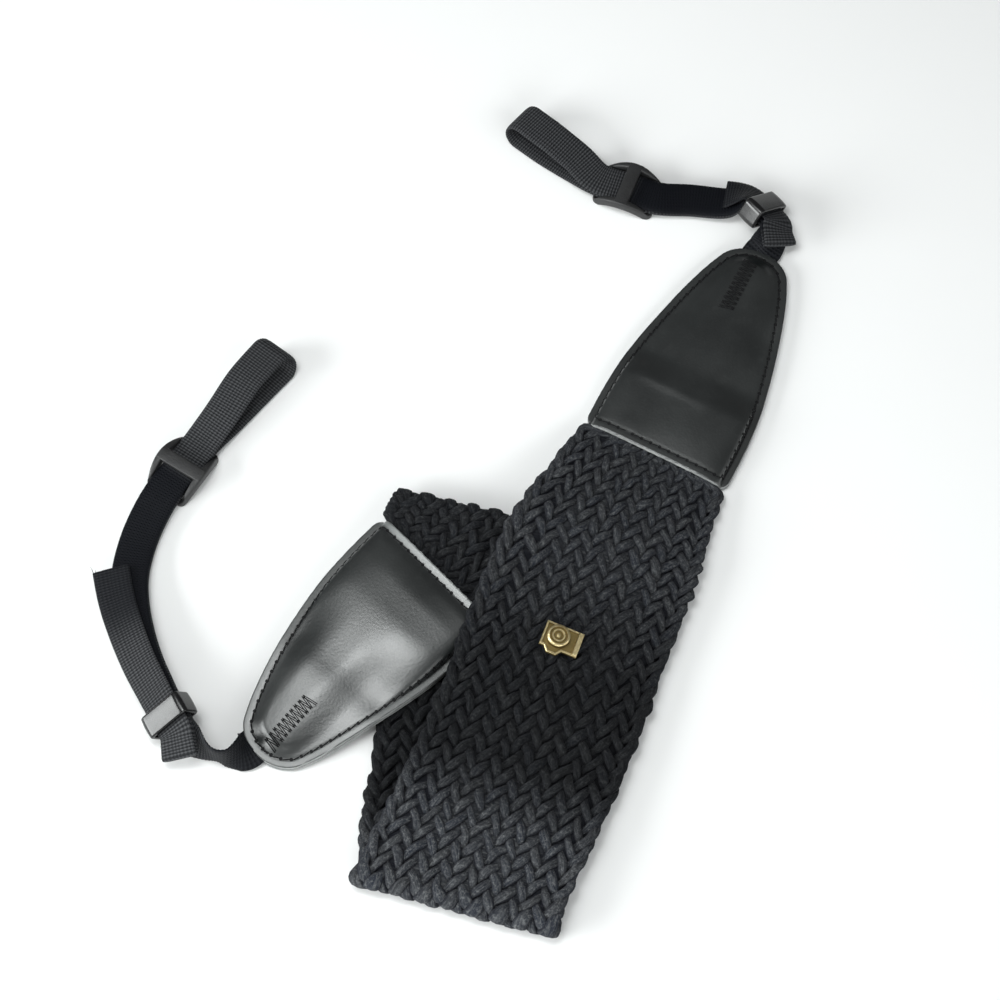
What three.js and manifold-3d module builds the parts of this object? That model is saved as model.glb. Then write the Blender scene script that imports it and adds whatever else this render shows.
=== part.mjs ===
import * as THREE from 'three';
import { mergeVertices } from 'three/addons/utils/BufferGeometryUtils.js';
import Module from 'manifold-3d';

const wasm = await Module();
wasm.setup();

// A braided neck strap lying folded on a table, in millimetres, +Z up.
// In the tables x runs right, y runs away and z up. Turns, headings and rolls are degrees.

// Driving dimensions
const clearance = 0.3;
const layerGap = 0.35;
const band = { thick: 4.2, sewnThick: 2.8, faceParts: 6, edgeParts: 4 };
const leather = { thick: 1.4, flange: 2.4, cornerRadius: 4, bandFill: 4, webFill: 2.3 };
const webbing = { width: 12, thick: 1.3, edge: 0.4, loopHeight: 8.1, stepsPerRow: 2 };
const keeper = { width: 15.4, wall: 1.3, length: 7.5, corner: 1.4, layers: 3 };
const glide = { length: 21.2, width: 17.6, endWidth: 14.8, slot: 12.6 };
const glideBars = { end: 2.4, centre: 4.6, thick: 1.9 };
const glideForm = { crown: 7.3, railUnder: 3.6, corner: 2, inset: 0.2, edge: 0.5 };
const stud = { width: 12.2, height: 8.2, thick: 1.5, gripWidth: 1.7, gripRise: 0.6 };
const lensForm = { radius: 3.6, rise: 1.5, groove: 0.5 };
const post = { radius: 1.2, holeRadius: 1.5, headRadius: 2.6, headThick: 1 };

const layerRise = band.thick + layerGap;
const webRise = webbing.thick + clearance;
const sewnHeight = leather.thick + 1.5 * clearance + band.sewnThick / 2;
const webHeight = leather.thick + clearance + webbing.thick / 2;

const rad = THREE.MathUtils.degToRad;
const up = new THREE.Vector3(0, 0, 1);
const flat = (degrees) => new THREE.Vector3(Math.cos(rad(degrees)), Math.sin(rad(degrees)), 0);
const smooth = (t) => THREE.MathUtils.smoothstep(t, 0, 1);
const table = (columns, rows) =>
  rows.map((row) => Object.fromEntries(columns.map((name, i) => [name, row[i]])));

// Where the two end tabs lie: middle of the straight end, heading towards the tip, skew of the
// straight end from square, its height above the table, and how far to the left of the middle
// line the webbing is sewn
const tabColumns = ['x', 'y', 'heading', 'length', 'skew', 'lift', 'webSide'];
const [leftTab, rightTab] = table(tabColumns, [
  [-20.1, -28.2, -132.1, 80.6, 4.6, layerRise, -3.5],
  [49.8, 13.8, 63.3, 86, 1.8, 0, 0.8],
]);
const tabDrop = { from: 48, to: 84 };

// Smooth values between table rows, t counted in rows
function between(rows, t) {
  const last = rows.length - 1;
  const i = Math.min(Math.floor(t), last - 1);
  const u = t - i;
  const [a, b, c, d] = [i - 1, i, i + 1, i + 2].map((k) => rows[Math.min(Math.max(k, 0), last)]);
  const mix = (name) => {
    const slopeB = (c[name] - a[name]) / 2;
    const slopeC = (d[name] - b[name]) / 2;
    const rise = c[name] - b[name];
    return b[name] + u * (slopeB + u * (3 * rise - 2 * slopeB - slopeC + u * (slopeB + slopeC - 2 * rise)));
  };
  return Object.fromEntries(Object.keys(b).map((name) => [name, mix(name)]));
}

// Closed solid through rings of points that all have the same even count. A ring starts at
// its left edge, runs over the top to its right edge and comes back underneath.
function loft(rings) {
  const count = rings[0].length;
  const half = count / 2;
  const index = [];
  const at = (ring, k) => ring * count + ((k + count) % count);
  for (let r = 0; r + 1 < rings.length; r += 1) {
    for (let k = 0; k < count; k += 1) {
      index.push(at(r, k), at(r, k + 1), at(r + 1, k + 1));
      index.push(at(r, k), at(r + 1, k + 1), at(r + 1, k));
    }
  }
  const end = rings.length - 1;
  for (let k = 0; k < half; k += 1) {
    if (k + 1 < half) {
      index.push(at(0, k + 1), at(0, k), at(0, -k - 1));
      index.push(at(end, k), at(end, k + 1), at(end, -k - 1));
    }
    if (k > 0) {
      index.push(at(0, k), at(0, -k), at(0, -k - 1));
      index.push(at(end, -k), at(end, k), at(end, -k - 1));
    }
  }
  const geometry = new THREE.BufferGeometry().setFromPoints(rings.flat());
  geometry.setIndex(index);
  return geometry;
}

// Closed solid between two grids of points, one above the other
function plate(top, bottom) {
  const rings = top.map((row, i) => [...row, ...[...bottom[i]].reverse()]);
  return loft(rings);
}

function solid(geometry) {
  const bare = geometry.clone();
  bare.deleteAttribute('normal');
  bare.deleteAttribute('uv');
  const merged = mergeVertices(bare, 1e-4);
  const vertProperties = new Float32Array(merged.attributes.position.array);
  const triVerts = new Uint32Array(merged.index.array);
  return new wasm.Manifold(new wasm.Mesh({ numProp: 3, vertProperties, triVerts }));
}

function geometryOf(manifold) {
  const { vertProperties, triVerts } = manifold.getMesh();
  const geometry = new THREE.BufferGeometry();
  geometry.setAttribute('position', new THREE.BufferAttribute(new Float32Array(vertProperties), 3));
  geometry.setIndex(new THREE.BufferAttribute(new Uint32Array(triVerts), 1));
  return geometry;
}

const join = (...geometries) =>
  geometryOf(geometries.map(solid).reduce((whole, piece) => whole.add(piece)));

function drawnOut(shape, depth, curveSegments) {
  return new THREE.ExtrudeGeometry(shape, { depth, curveSegments, bevelEnabled: false });
}

// Shape given in a piece's length and height, drawn out across its width
function acrossBar(shape, from, to) {
  const geometry = drawnOut(shape, to - from, 6);
  const turn = new THREE.Matrix4().makeBasis(
    new THREE.Vector3(0, 1, 0), new THREE.Vector3(0, 0, 1), new THREE.Vector3(1, 0, 0));
  return geometry.applyMatrix4(turn).translate(from, 0, 0);
}

function roundedBox(x0, y0, x1, y1, r, path = new THREE.Shape()) {
  path.moveTo(x0 + r, y0);
  path.lineTo(x1 - r, y0);
  path.absarc(x1 - r, y0 + r, r, -Math.PI / 2, 0);
  path.absarc(x1 - r, y1 - r, r, 0, Math.PI / 2);
  path.absarc(x0 + r, y1 - r, r, Math.PI / 2, Math.PI);
  path.absarc(x0 + r, y0 + r, r, Math.PI, 1.5 * Math.PI);
  return path;
}

// End tabs: two leather leaves sewn together, the upper one crowned over the band and the webbing
// share is the distance from the straight end as a share of the tab's length
const tabSides = table(['share', 'half'], [
  [0.05, 25.6], [0.18, 25.6], [0.34, 24.7], [0.52, 22], [0.7, 18.4], [0.84, 14.8], [0.92, 12],
]);
const tabNose = { steps: 5, from: 19, to: 84 };
const tabSteps = 2;
const bandStep = { from: 23, to: 37 };
const webEdge = { inner: 6.3, outer: 11 };

// A point of a tab, a along it from the straight end, b to the left and z above its underside
function placeOn(tab, a, b, z) {
  const lift = tab.lift * (1 - smooth((a - tabDrop.from) / (tabDrop.to - tabDrop.from)));
  const skew = b * Math.tan(rad(tab.skew)) * (1 - smooth(a / tabDrop.from));
  const point = new THREE.Vector3(tab.x, tab.y, z + lift);
  return point.addScaledVector(flat(tab.heading), a + skew).addScaledVector(flat(tab.heading + 90), b);
}

// Rows along a tab: distance from the straight end, half width, and half width with square corners
function tabRows(tab) {
  const first = tabSides[0];
  const last = tabSides.at(-1);
  const rows = [];
  for (const turn of [0, 30, 60]) {
    const a = leather.cornerRadius * (1 - Math.cos(rad(turn)));
    rows.push({ a, half: first.half - leather.cornerRadius * (1 - Math.sin(rad(turn))), full: first.half });
  }
  for (let k = 0; k <= (tabSides.length - 1) * tabSteps; k += 1) {
    const { share, half } = between(tabSides, k / tabSteps);
    rows.push({ a: share * tab.length, half, full: half });
  }
  const begin = Math.sin(rad(tabNose.from));
  for (let k = 1; k <= tabNose.steps; k += 1) {
    const turn = rad(tabNose.from + ((tabNose.to - tabNose.from) * k) / tabNose.steps);
    const reach = (1 - last.share) * ((Math.sin(turn) - begin) / (1 - begin));
    const half = last.half * (Math.cos(turn) / Math.cos(rad(tabNose.from)));
    rows.push({ a: (last.share + reach) * tab.length, half, full: half });
  }
  return rows;
}

// Space between the two leaves: band near the straight end, webbing near the tip, closed at the seam
function leafSpace(a, b, full, tab) {
  const bandShare = 1 - smooth((a - bandStep.from) / (bandStep.to - bandStep.from));
  const v = Math.min(Math.abs(b) / Math.max(full - leather.flange, 1), 1);
  const overBand = (1 - v ** 4) ** 0.25;
  const off = Math.abs(b - tab.webSide);
  const overWeb = 1 - smooth((off - webEdge.inner) / (webEdge.outer - webEdge.inner));
  return clearance + bandShare * (leather.bandFill - clearance) * overBand
    + (1 - bandShare) * (leather.webFill - clearance) * overWeb;
}

function leaf(tab, shares, heightAt) {
  const grid = (rise) => tabRows(tab).map(({ a, half, full }) => shares.map((share) => {
    const b = share * half;
    return placeOn(tab, a, b, heightAt(a, b, full) + rise);
  }));
  return plate(grid(leather.thick), grid(0));
}

const mirrored = (shares) => [...[...shares].reverse(), 0, ...shares.map((s) => -s)];
const topShares = mirrored([0.25, 0.5, 0.68, 0.8, 0.87, 0.925, 1]);
const baseShares = mirrored([0.5, 1]);
const topLeaf = (tab) =>
  leaf(tab, topShares, (a, b, full) => leather.thick + leafSpace(a, b, full, tab));
const baseLeaf = (tab) => leaf(tab, baseShares, () => 0);

// Braided band: middle pass from the left tab, top fold, back pass, bottom fold, front pass
// to the right tab. turn is the direction from the left edge to the right edge, and bow is
// how far the middle stands above the line between the edges.
const bandColumns = ['x', 'y', 'turn', 'width', 'leftZ', 'rightZ', 'bow', 'thick'];
const level = (n) => band.thick / 2 + n * layerRise;

// The end sewn in a tab, from inside the tab to just outside its mouth
const sewnRows = table(['a', 'width', 'thick'], [
  [21.5, 40, band.sewnThick], [12, 40, band.sewnThick], [6, 40.2, band.sewnThick],
  [0.2, 41.8, band.sewnThick], [-2.3, 52.5, 3.0],
]);

function sewnEnd(tab) {
  const across = tab.heading > 0 ? -90 : 90;
  return sewnRows.map(({ a, width, thick }) => {
    const { x, y, z } = placeOn(tab, a, 0, sewnHeight);
    const skew = tab.skew * (1 - smooth(a / tabDrop.from));
    return [x, y, tab.heading + across - skew, width, z, z, 0, thick];
  });
}

const topFold = { x: -3.8, y: -9.4, turn: -13.8, width: 62, outward: 90 };
const bottomFold = { x: -13.1, y: -133.2, turn: -15.3, width: 63.4, outward: -90 };
const foldRow = (fold, n) => [fold.x, fold.y, fold.turn, fold.width, level(n), level(n), 0, band.thick];

const middlePass = table(bandColumns, [
  ...sewnEnd(leftTab),
  [-13.0, -20.0, -32.7, 55.4, 7.3, 7.3, 0, 4.0],
  foldRow(topFold, 1),
]);
const backPass = table(bandColumns, [
  foldRow(topFold, 0),
  [-4.5, -40, -8, 63.5, level(0), level(0), 0, band.thick],
  [-6.2, -75, -6, 64, level(0), level(0), 0, band.thick],
  [-10.5, -108, -10, 63.5, level(0), level(0), 0, band.thick],
  foldRow(bottomFold, 0),
]);
const frontPass = table(bandColumns, [
  foldRow(bottomFold, 1),
  [-7.9, -121.5, -17.5, 63, 6.75, 6.65, 0, band.thick],
  [-0.4, -105, -17.5, 63.5, 6.9, 6.4, 0.4, band.thick],
  [7.3, -87.7, -15.6, 63.6, 7.8, 5.2, 1.2, band.thick],
  [14.5, -69.2, -13.5, 63.8, 11.4, 4.2, 2.0, band.thick],
  [21.2, -50.2, -13.1, 64.6, 13.8, 4.0, 2.5, band.thick],
  [27.4, -34.7, -14.5, 64.4, 13.5, 4.2, 2.6, band.thick],
  [33.6, -19.2, -19.5, 63, 11.8, 4.2, 3.0, band.thick],
  [42.6, 0.2, -25.2, 56, 6.6, 3.6, 1.4, 4.0],
  ...sewnEnd(rightTab).reverse(),
]);

function bandSection(row) {
  const side = flat(row.turn).multiplyScalar(row.width / 2);
  side.z = (row.rightZ - row.leftZ) / 2;
  const centre = new THREE.Vector3(row.x, row.y, (row.leftZ + row.rightZ) / 2);
  return { centre, side: side.normalize(), half: row.width / 2, bow: row.bow, thick: row.thick };
}

// Sections of one pass; facing is 1 where the band's outer face looks up and -1 where it looks down
function passSections(rows, facing, stepsPerRow) {
  const sections = [];
  const steps = (rows.length - 1) * stepsPerRow;
  for (let k = 0; k <= steps; k += 1) {
    const t = (k / steps) * (rows.length - 1);
    const section = bandSection(between(rows, t));
    const reach = 0.2;
    const before = bandSection(between(rows, Math.max(t - reach, 0))).centre;
    const after = bandSection(between(rows, Math.min(t + reach, rows.length - 1))).centre;
    const ahead = after.sub(before);
    section.normal = new THREE.Vector3().crossVectors(section.side, ahead).normalize();
    if (section.normal.z * facing < 0) section.normal.negate();
    sections.push(section);
  }
  return sections;
}

// Half turn round a fold line, from level `from` to level `to`
function foldSections(fold, from, to, facing) {
  const foldSteps = 6;
  const out = flat(fold.turn + fold.outward);
  const middle = (level(from) + level(to)) / 2;
  const radius = (level(to) - level(from)) / 2;
  const sections = [];
  for (let k = 1; k < foldSteps; k += 1) {
    const angle = (Math.PI * k) / foldSteps;
    const side = flat(fold.turn);
    const centre = new THREE.Vector3(fold.x, fold.y, middle - radius * Math.cos(angle));
    centre.addScaledVector(out, Math.abs(radius) * Math.sin(angle));
    const normal = out.clone().multiplyScalar(facing * Math.sign(radius) * Math.sin(angle));
    normal.addScaledVector(up, facing * Math.cos(angle));
    sections.push({ centre, side, normal, half: fold.width / 2, bow: 0, thick: band.thick });
  }
  return sections;
}

const bandSections = [
  ...passSections(middlePass, 1, 3),
  ...foldSections(topFold, 1, 0, 1),
  ...passSections(backPass, -1, 2),
  ...foldSections(bottomFold, 0, 1, -1),
  ...passSections(frontPass, 1, 3),
];

function bandRing({ centre, side, normal, half, bow, thick }) {
  const radius = thick / 2;
  const points = [];
  const add = (x, y) => {
    const rise = y + bow * (1 - (x / half) ** 2);
    points.push(centre.clone().addScaledVector(side, x).addScaledVector(normal, rise));
  };
  const straight = half - radius;
  for (const sign of [1, -1]) {
    for (let k = 0; k < band.edgeParts / 2; k += 1) {
      const angle = (Math.PI * k) / band.edgeParts;
      add(sign * (-straight - radius * Math.cos(angle)), sign * radius * Math.sin(angle));
    }
    for (let k = 0; k < band.faceParts; k += 1) {
      add(sign * straight * ((2 * k) / band.faceParts - 1), sign * radius);
    }
    for (let k = 0; k < band.edgeParts / 2; k += 1) {
      const angle = Math.PI / 2 - (Math.PI * k) / band.edgeParts;
      add(sign * (straight + radius * Math.cos(angle)), sign * radius * Math.sin(angle));
    }
  }
  return points;
}

// The badge sits on the front pass, a little below its middle
const studRow = 4.78;
const studHeading = -20.5;
const studShift = -1.6;
const studSection = bandSection(between(frontPass, studRow));
const studAcross = flat(studHeading);
const studNormal = new THREE.Vector3().crossVectors(
  studSection.side, flat(studHeading + 90)).normalize();
studAcross.addScaledVector(studNormal, -studAcross.dot(studNormal)).normalize();
const studUpright = new THREE.Vector3().crossVectors(studNormal, studAcross);
const studPlace = studSection.centre.clone().addScaledVector(studNormal, studSection.bow);
studPlace.addScaledVector(studSection.side, studShift);
const studFrame = new THREE.Matrix4().makeBasis(studAcross, studUpright, studNormal).setPosition(studPlace);

function braidBand() {
  const body = solid(loft(bandSections.map(bandRing)));
  const hole = new THREE.CylinderGeometry(post.holeRadius, post.holeRadius, 2 * band.thick, 12);
  hole.rotateX(Math.PI / 2).applyMatrix4(studFrame);
  return geometryOf(body.subtract(solid(hole)));
}

// Cast badge in the outline of a plain box with a prism hump, a ringed lens and a grip,
// on a riveted post. Its local z = 0 is the middle of the band.
function brassStud() {
  const seat = band.thick / 2 + clearance;
  const halfWidth = stud.width / 2;
  const halfHeight = stud.height / 2;
  const hump = { middle: -1.6, base: 2.9, tip: 1.5, rise: 1.7 };
  const outline = new THREE.Shape();
  outline.moveTo(-halfWidth, halfHeight);
  outline.lineTo(-halfWidth, -halfHeight);
  outline.lineTo(hump.middle - hump.base, -halfHeight);
  outline.lineTo(hump.middle - hump.tip, -halfHeight - hump.rise);
  outline.lineTo(hump.middle + hump.tip, -halfHeight - hump.rise);
  outline.lineTo(hump.middle + hump.base, -halfHeight);
  outline.lineTo(halfWidth, -halfHeight);
  outline.lineTo(halfWidth, halfHeight);
  const body = drawnOut(outline, stud.thick, 1).translate(0, 0, seat);
  const top = seat + stud.thick;
  const grip = new THREE.BoxGeometry(stud.gripWidth, stud.height, stud.gripRise + stud.thick);
  grip.translate(halfWidth - stud.gripWidth / 2, 0, top + (stud.gripRise - stud.thick) / 2);
  const r = lensForm.radius;
  const rim = top + lensForm.rise;
  const floor = rim - lensForm.groove;
  const lens = lathe([[r, seat + 0.4], [r, rim - 0.3], [0.92 * r, rim], [0.7 * r, rim],
    [0.66 * r, floor], [0.44 * r, floor], [0.4 * r, rim - 0.1]]);
  lens.translate(hump.middle + 0.3, 0.1, 0);
  const under = -band.thick / 2 - clearance;
  const stem = lathe([[post.headRadius, under - post.headThick], [post.headRadius, under],
    [post.radius, under], [post.radius, seat + 0.5]]);
  return join(body, grip, lens, stem);
}

// Turned solid from its profile, closed on the axis, standing along z
function lathe(profile) {
  const [first, last] = [profile[0], profile.at(-1)];
  const points = [[0, first[1]], ...profile, [0, last[1]]].map(([r, z]) => new THREE.Vector2(r, z));
  return new THREE.LatheGeometry(points, 20).rotateX(Math.PI / 2);
}

// Webbing routes. The main layer runs from the tab through the keeper and the slider to the
// loop; roll lifts the right edge. Tail rows are the doubled end below the keeper.
const routeColumns = ['x', 'y', 'z', 'roll'];
const webLow = 0.95;
const throughGlide = glideBars.thick + clearance + webbing.thick / 2 + 0.1;

const leftRoute = {
  tab: leftTab,
  fromTab: table(routeColumns, [
    [-80.6, -89.1, 3.7, 26],
    [-83.6, -89.9, 5.9, 66],
    [-87.2, -88.9, 6.3, 76],
    [-90.8, -86.8, 6.3, 64],
    [-94.3, -84.1, 6.3, 46],
  ]),
  keeper: { x: -100.7, y: -76.1, z: 6.35, roll: 32, heading: 119.5 },
  toGlide: table(routeColumns, [
    [-105.3, -67.6, 5.6, 30],
    [-110.1, -57.7, 4.7, 25],
    [-114.0, -46.7, 3.8, 18],
    [-116.4, -36.2, 3.0, 11],
    [-117.0, -26.9, 2.3, 6],
    [-115.4, -16.4, 1.8, 2],
    [-112.4, -7.4, 2.2, 0],
  ]),
  glide: { x: -102.6, y: 9.6, heading: 57 },
  lowerLeg: table(routeColumns, [
    [-88.9, 28.6, 1.3, 0],
    [-80.8, 38.6, webLow, 0],
    [-73.4, 47.4, webLow, 0],
  ]),
  upperLeg: table(routeColumns, [
    [-89.9, 28.4, 7.2, 0],
    [-83.2, 39.2, 9.2, 0],
  ]),
  loopShift: -3.1,
  tail: table(routeColumns, [
    [-96.6, -88.6, 5.2, 24],
    [-97.1, -84.8, 5.9, 29],
  ]),
  freeEnd: { row: 6, shift: -5.8 },
};

const rightRoute = {
  tab: rightTab,
  fromTab: table(routeColumns, [
    [89.5, 92.2, 3.3, -16],
    [91.5, 95.9, 5.0, -30],
  ]),
  keeper: { x: 87.8, y: 103.9, z: 6.45, roll: -34, heading: 130 },
  toGlide: table(routeColumns, [
    [76.8, 109.0, 3.4, -8],
    [64.8, 111.0, 2.3, -2],
  ]),
  glide: { x: 43.6, y: 115.2, heading: 159 },
  lowerLeg: table(routeColumns, [
    [25.8, 125.2, 1.3, 0],
    [16.6, 132.0, webLow, 0],
    [8.6, 138.6, webLow, 0],
  ]),
  upperLeg: table(routeColumns, [
    [26.2, 125.6, 7.2, 0],
    [17.6, 132.6, 9.2, 0],
  ]),
  loopShift: 1.5,
  tail: table(routeColumns, [
    [92.8, 92.4, 4.8, -20],
    [91.8, 95.9, 5.7, -29],
  ]),
  freeEnd: { row: 2, shift: 2 },
};

// The sewn rows, the straight rows through keeper and slider, and the rows between
const sewnStations = [0.7, 0.8, 0.9, 0.985];
const keeperReach = 5.6;

function mainRows(route) {
  const sewn = sewnStations.map((share) => {
    const { x, y, z } = placeOn(route.tab, share * route.tab.length, route.tab.webSide, webHeight);
    return { x, y, z, roll: 0 };
  });
  const straight = (spot, z, roll, reach) => [-reach, 0, reach].map((d) => {
    const ahead = flat(spot.heading);
    return { x: spot.x + d * ahead.x, y: spot.y + d * ahead.y, z, roll };
  });
  const inKeeper = straight(route.keeper, route.keeper.z, route.keeper.roll, keeperReach);
  const inGlide = straight(route.glide, throughGlide, 0, glide.length / 2);
  const rows = [...sewn, ...route.fromTab, ...inKeeper, ...route.toGlide, ...inGlide, ...route.lowerLeg];
  const keeperRow = sewn.length + route.fromTab.length + 1;
  const glideRow = keeperRow + 2 + route.toGlide.length + 1;
  return { rows, keeperRow, glideRow };
}

function webFrame(rows, t) {
  const reach = 0.05;
  const { x, y, z, roll } = between(rows, t);
  const a = between(rows, Math.max(t - reach, 0));
  const b = between(rows, Math.min(t + reach, rows.length - 1));
  const ahead = new THREE.Vector3(b.x - a.x, b.y - a.y, b.z - a.z).normalize();
  const side = new THREE.Vector3().crossVectors(ahead, up).normalize().applyAxisAngle(ahead, -rad(roll));
  const normal = new THREE.Vector3().crossVectors(side, ahead).normalize();
  return { centre: new THREE.Vector3(x, y, z), side, normal, ahead, roll };
}

function webFrames(rows) {
  const steps = (rows.length - 1) * webbing.stepsPerRow;
  return Array.from({ length: steps + 1 }, (_, k) => webFrame(rows, k / webbing.stepsPerRow));
}

// A row moved off the main layer, by layers along its normal and sideways
function layerRow(frame, layers, sideways = 0) {
  const moved = frame.centre.clone().addScaledVector(frame.normal, layers * webRise);
  const { x, y, z } = moved.addScaledVector(frame.side, sideways);
  return { x, y, z, roll: frame.roll };
}

// Half turn of the webbing from one frame to another that lies above it
function halfTurn(from, to, outward, steps) {
  const across = to.centre.clone().sub(from.centre);
  const rise = across.clone().addScaledVector(from.side, -across.dot(from.side));
  const radius = rise.length() / 2;
  rise.normalize();
  return Array.from({ length: steps - 1 }, (_, i) => {
    const share = (i + 1) / steps;
    const angle = Math.PI * share;
    const centre = from.centre.clone().addScaledVector(rise, radius * (1 - Math.cos(angle)));
    centre.addScaledVector(outward, radius * Math.sin(angle));
    centre.addScaledVector(from.side, across.dot(from.side) * smooth(share));
    const normal = rise.clone().multiplyScalar(Math.cos(angle));
    normal.addScaledVector(outward, -Math.sin(angle)).multiplyScalar(Math.sign(from.normal.dot(rise)));
    const side = from.side.clone().lerp(to.side, share).normalize();
    return { centre, side, normal };
  });
}

const turned = (frames) =>
  [...frames].reverse().map((frame) => ({ ...frame, normal: frame.normal.clone().negate() }));

function webbingFrames(route) {
  const { rows, keeperRow, glideRow } = mainRows(route);
  const main = webFrames(rows);
  const mainEnd = main.at(-1);
  const rowFrame = (t) => webFrame(rows, t);
  const loopTop = layerRow(mainEnd, webbing.loopHeight / webRise, route.loopShift);
  const stacked = (layers, toRow, shift) => {
    const hanging = [...route.tail, rows[keeperRow]];
    const layer = route.tail.map((_, i) => layerRow(webFrame(hanging, i), layers));
    for (let t = keeperRow - 1; t <= toRow; t += 1) {
      const share = Math.max((t - keeperRow - 1) / (toRow - keeperRow - 1), 0) ** 2;
      layer.push(layerRow(rowFrame(t), layers, shift * share));
    }
    return layer;
  };
  const tail = webFrames([...stacked(1, glideRow + 1, 0), ...route.upperLeg, loopTop]);
  const ending = webFrames(stacked(2, keeperRow + route.freeEnd.row, route.freeEnd.shift));
  const loop = halfTurn(mainEnd, tail.at(-1), mainEnd.ahead, 8);
  const back = tail[0].ahead.clone().negate();
  const fold = turned(halfTurn(tail[0], ending[0], back, 5).reverse());
  const { centre, side, normal, ahead } = rowFrame(keeperRow);
  const keeperFrame = new THREE.Matrix4().makeBasis(side, ahead, normal);
  keeperFrame.setPosition(centre.addScaledVector(normal, webRise));
  return { frames: [...main, ...loop, ...turned(tail), ...fold, ...ending], keeperFrame };
}

function webRing({ centre, side, normal }) {
  const halfWidth = webbing.width / 2;
  const halfThick = webbing.thick / 2;
  const flatHalf = halfWidth - webbing.edge;
  const corners = [[-halfWidth, 0], [-flatHalf, halfThick], [flatHalf, halfThick],
    [halfWidth, 0], [flatHalf, -halfThick], [-flatHalf, -halfThick]];
  return corners.map(([x, y]) => centre.clone().addScaledVector(side, x).addScaledVector(normal, y));
}

// Keeper: short plastic sleeve round three layers of webbing, running along its local y
function keeperLoop() {
  const opening = keeper.layers * webRise - clearance + 2 * layerGap;
  const halfWidth = keeper.width / 2;
  const halfHeight = opening / 2 + keeper.wall;
  const shape = roundedBox(-halfWidth, -halfHeight, halfWidth, halfHeight, keeper.corner);
  const inner = roundedBox(-halfWidth + keeper.wall, -opening / 2, halfWidth - keeper.wall, opening / 2,
    0.4, new THREE.Path());
  shape.holes.push(inner);
  const sleeve = drawnOut(shape, keeper.length, 3);
  return sleeve.translate(0, 0, -keeper.length / 2).rotateX(Math.PI / 2);
}

// Slider's outline from above: narrow at the ends, with bulging sides
function barrel() {
  const end = glide.length / 2;
  const waist = glide.endWidth / 2;
  const bulge = glide.width - waist;
  const inner = waist - glideForm.corner;
  const shoulder = end - glideForm.corner;
  const shape = new THREE.Shape();
  shape.moveTo(-inner, -end);
  shape.lineTo(inner, -end);
  shape.quadraticCurveTo(waist, -end, waist, -shoulder);
  shape.quadraticCurveTo(bulge, 0, waist, shoulder);
  shape.quadraticCurveTo(waist, end, inner, end);
  shape.lineTo(-inner, end);
  shape.quadraticCurveTo(-waist, end, -waist, shoulder);
  shape.quadraticCurveTo(-bulge, 0, -waist, -shoulder);
  shape.quadraticCurveTo(-waist, -end, -inner, -end);
  return shape;
}

// Slider: two bowed rails, an end bar at each end under the webbing and a middle bar over it
function triGlide() {
  const end = glide.length / 2;
  const foot = end - glideBars.end;
  const side = glide.width / 2;
  const slot = glide.slot / 2;
  const { crown, railUnder, inset, edge } = glideForm;
  const under = crown - glideBars.thick;
  const rail = new THREE.Shape();
  rail.moveTo(-end, 0);
  rail.lineTo(-foot, 0);
  rail.quadraticCurveTo(-foot / 2, railUnder, 0, railUnder);
  rail.quadraticCurveTo(foot / 2, railUnder, foot, 0);
  rail.lineTo(end, 0);
  rail.lineTo(end, glideBars.thick);
  rail.quadraticCurveTo(end / 2, crown, 0, crown);
  rail.quadraticCurveTo(-end / 2, crown, -end, glideBars.thick);
  const half = glideBars.centre / 2;
  const bars = [
    roundedBox(-end, 0, -foot, glideBars.thick, edge),
    roundedBox(-half, under + inset, half, crown, edge),
    roundedBox(foot, 0, end, glideBars.thick, edge),
  ];
  const frame = join(
    acrossBar(rail, -side, -slot),
    acrossBar(rail, slot, side),
    ...bars.map((bar) => acrossBar(bar, -side + inset, side - inset)),
  );
  return geometryOf(solid(frame).intersect(solid(drawnOut(barrel(), crown, 4))));
}

// Finishes
const finish = (color, roughness, metalness = 0) =>
  new THREE.MeshStandardMaterial({ color, roughness, metalness });
const finishes = {
  cotton: finish(0x1d1e21, 0.95),
  leather: finish(0x1b1c1e, 0.45),
  nylon: finish(0x232527, 0.8),
  moulded: finish(0x2c2d2f, 0.6),
  glossy: finish(0x151516, 0.25),
  brass: finish(0x8f7a3e, 0.4, 0.9),
};

const strap = new THREE.Group();

function addPiece(name, geometry, material) {
  const mesh = new THREE.Mesh(geometry, material);
  mesh.name = name;
  strap.add(mesh);
  return mesh;
}

addPiece('braid_band', braidBand(), finishes.cotton);
addPiece('brass_stud', brassStud(), finishes.brass).applyMatrix4(studFrame);

for (const [side, route] of [['left', leftRoute], ['right', rightRoute]]) {
  const { frames, keeperFrame } = webbingFrames(route);
  addPiece(`${side}_tab_top`, topLeaf(route.tab), finishes.leather);
  addPiece(`${side}_tab_base`, baseLeaf(route.tab), finishes.leather);
  addPiece(`${side}_webbing`, loft(frames.map(webRing)), finishes.nylon);
  addPiece(`${side}_keeper`, keeperLoop(), finishes.glossy).applyMatrix4(keeperFrame);
  const slider = addPiece(`${side}_tri_glide`, triGlide(), finishes.moulded);
  slider.position.set(route.glide.x, route.glide.y, 0);
  slider.rotation.z = rad(route.glide.heading - 90);
}

// Origin in the middle of the footprint, on the table
strap.updateMatrixWorld(true);
const box = new THREE.Box3().setFromObject(strap, true);
const middle = box.getCenter(new THREE.Vector3());
strap.position.set(-middle.x, -middle.y, -box.min.z);

export default strap;
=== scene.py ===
import math

import bpy
import numpy as np
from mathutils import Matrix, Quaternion, Vector


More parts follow.
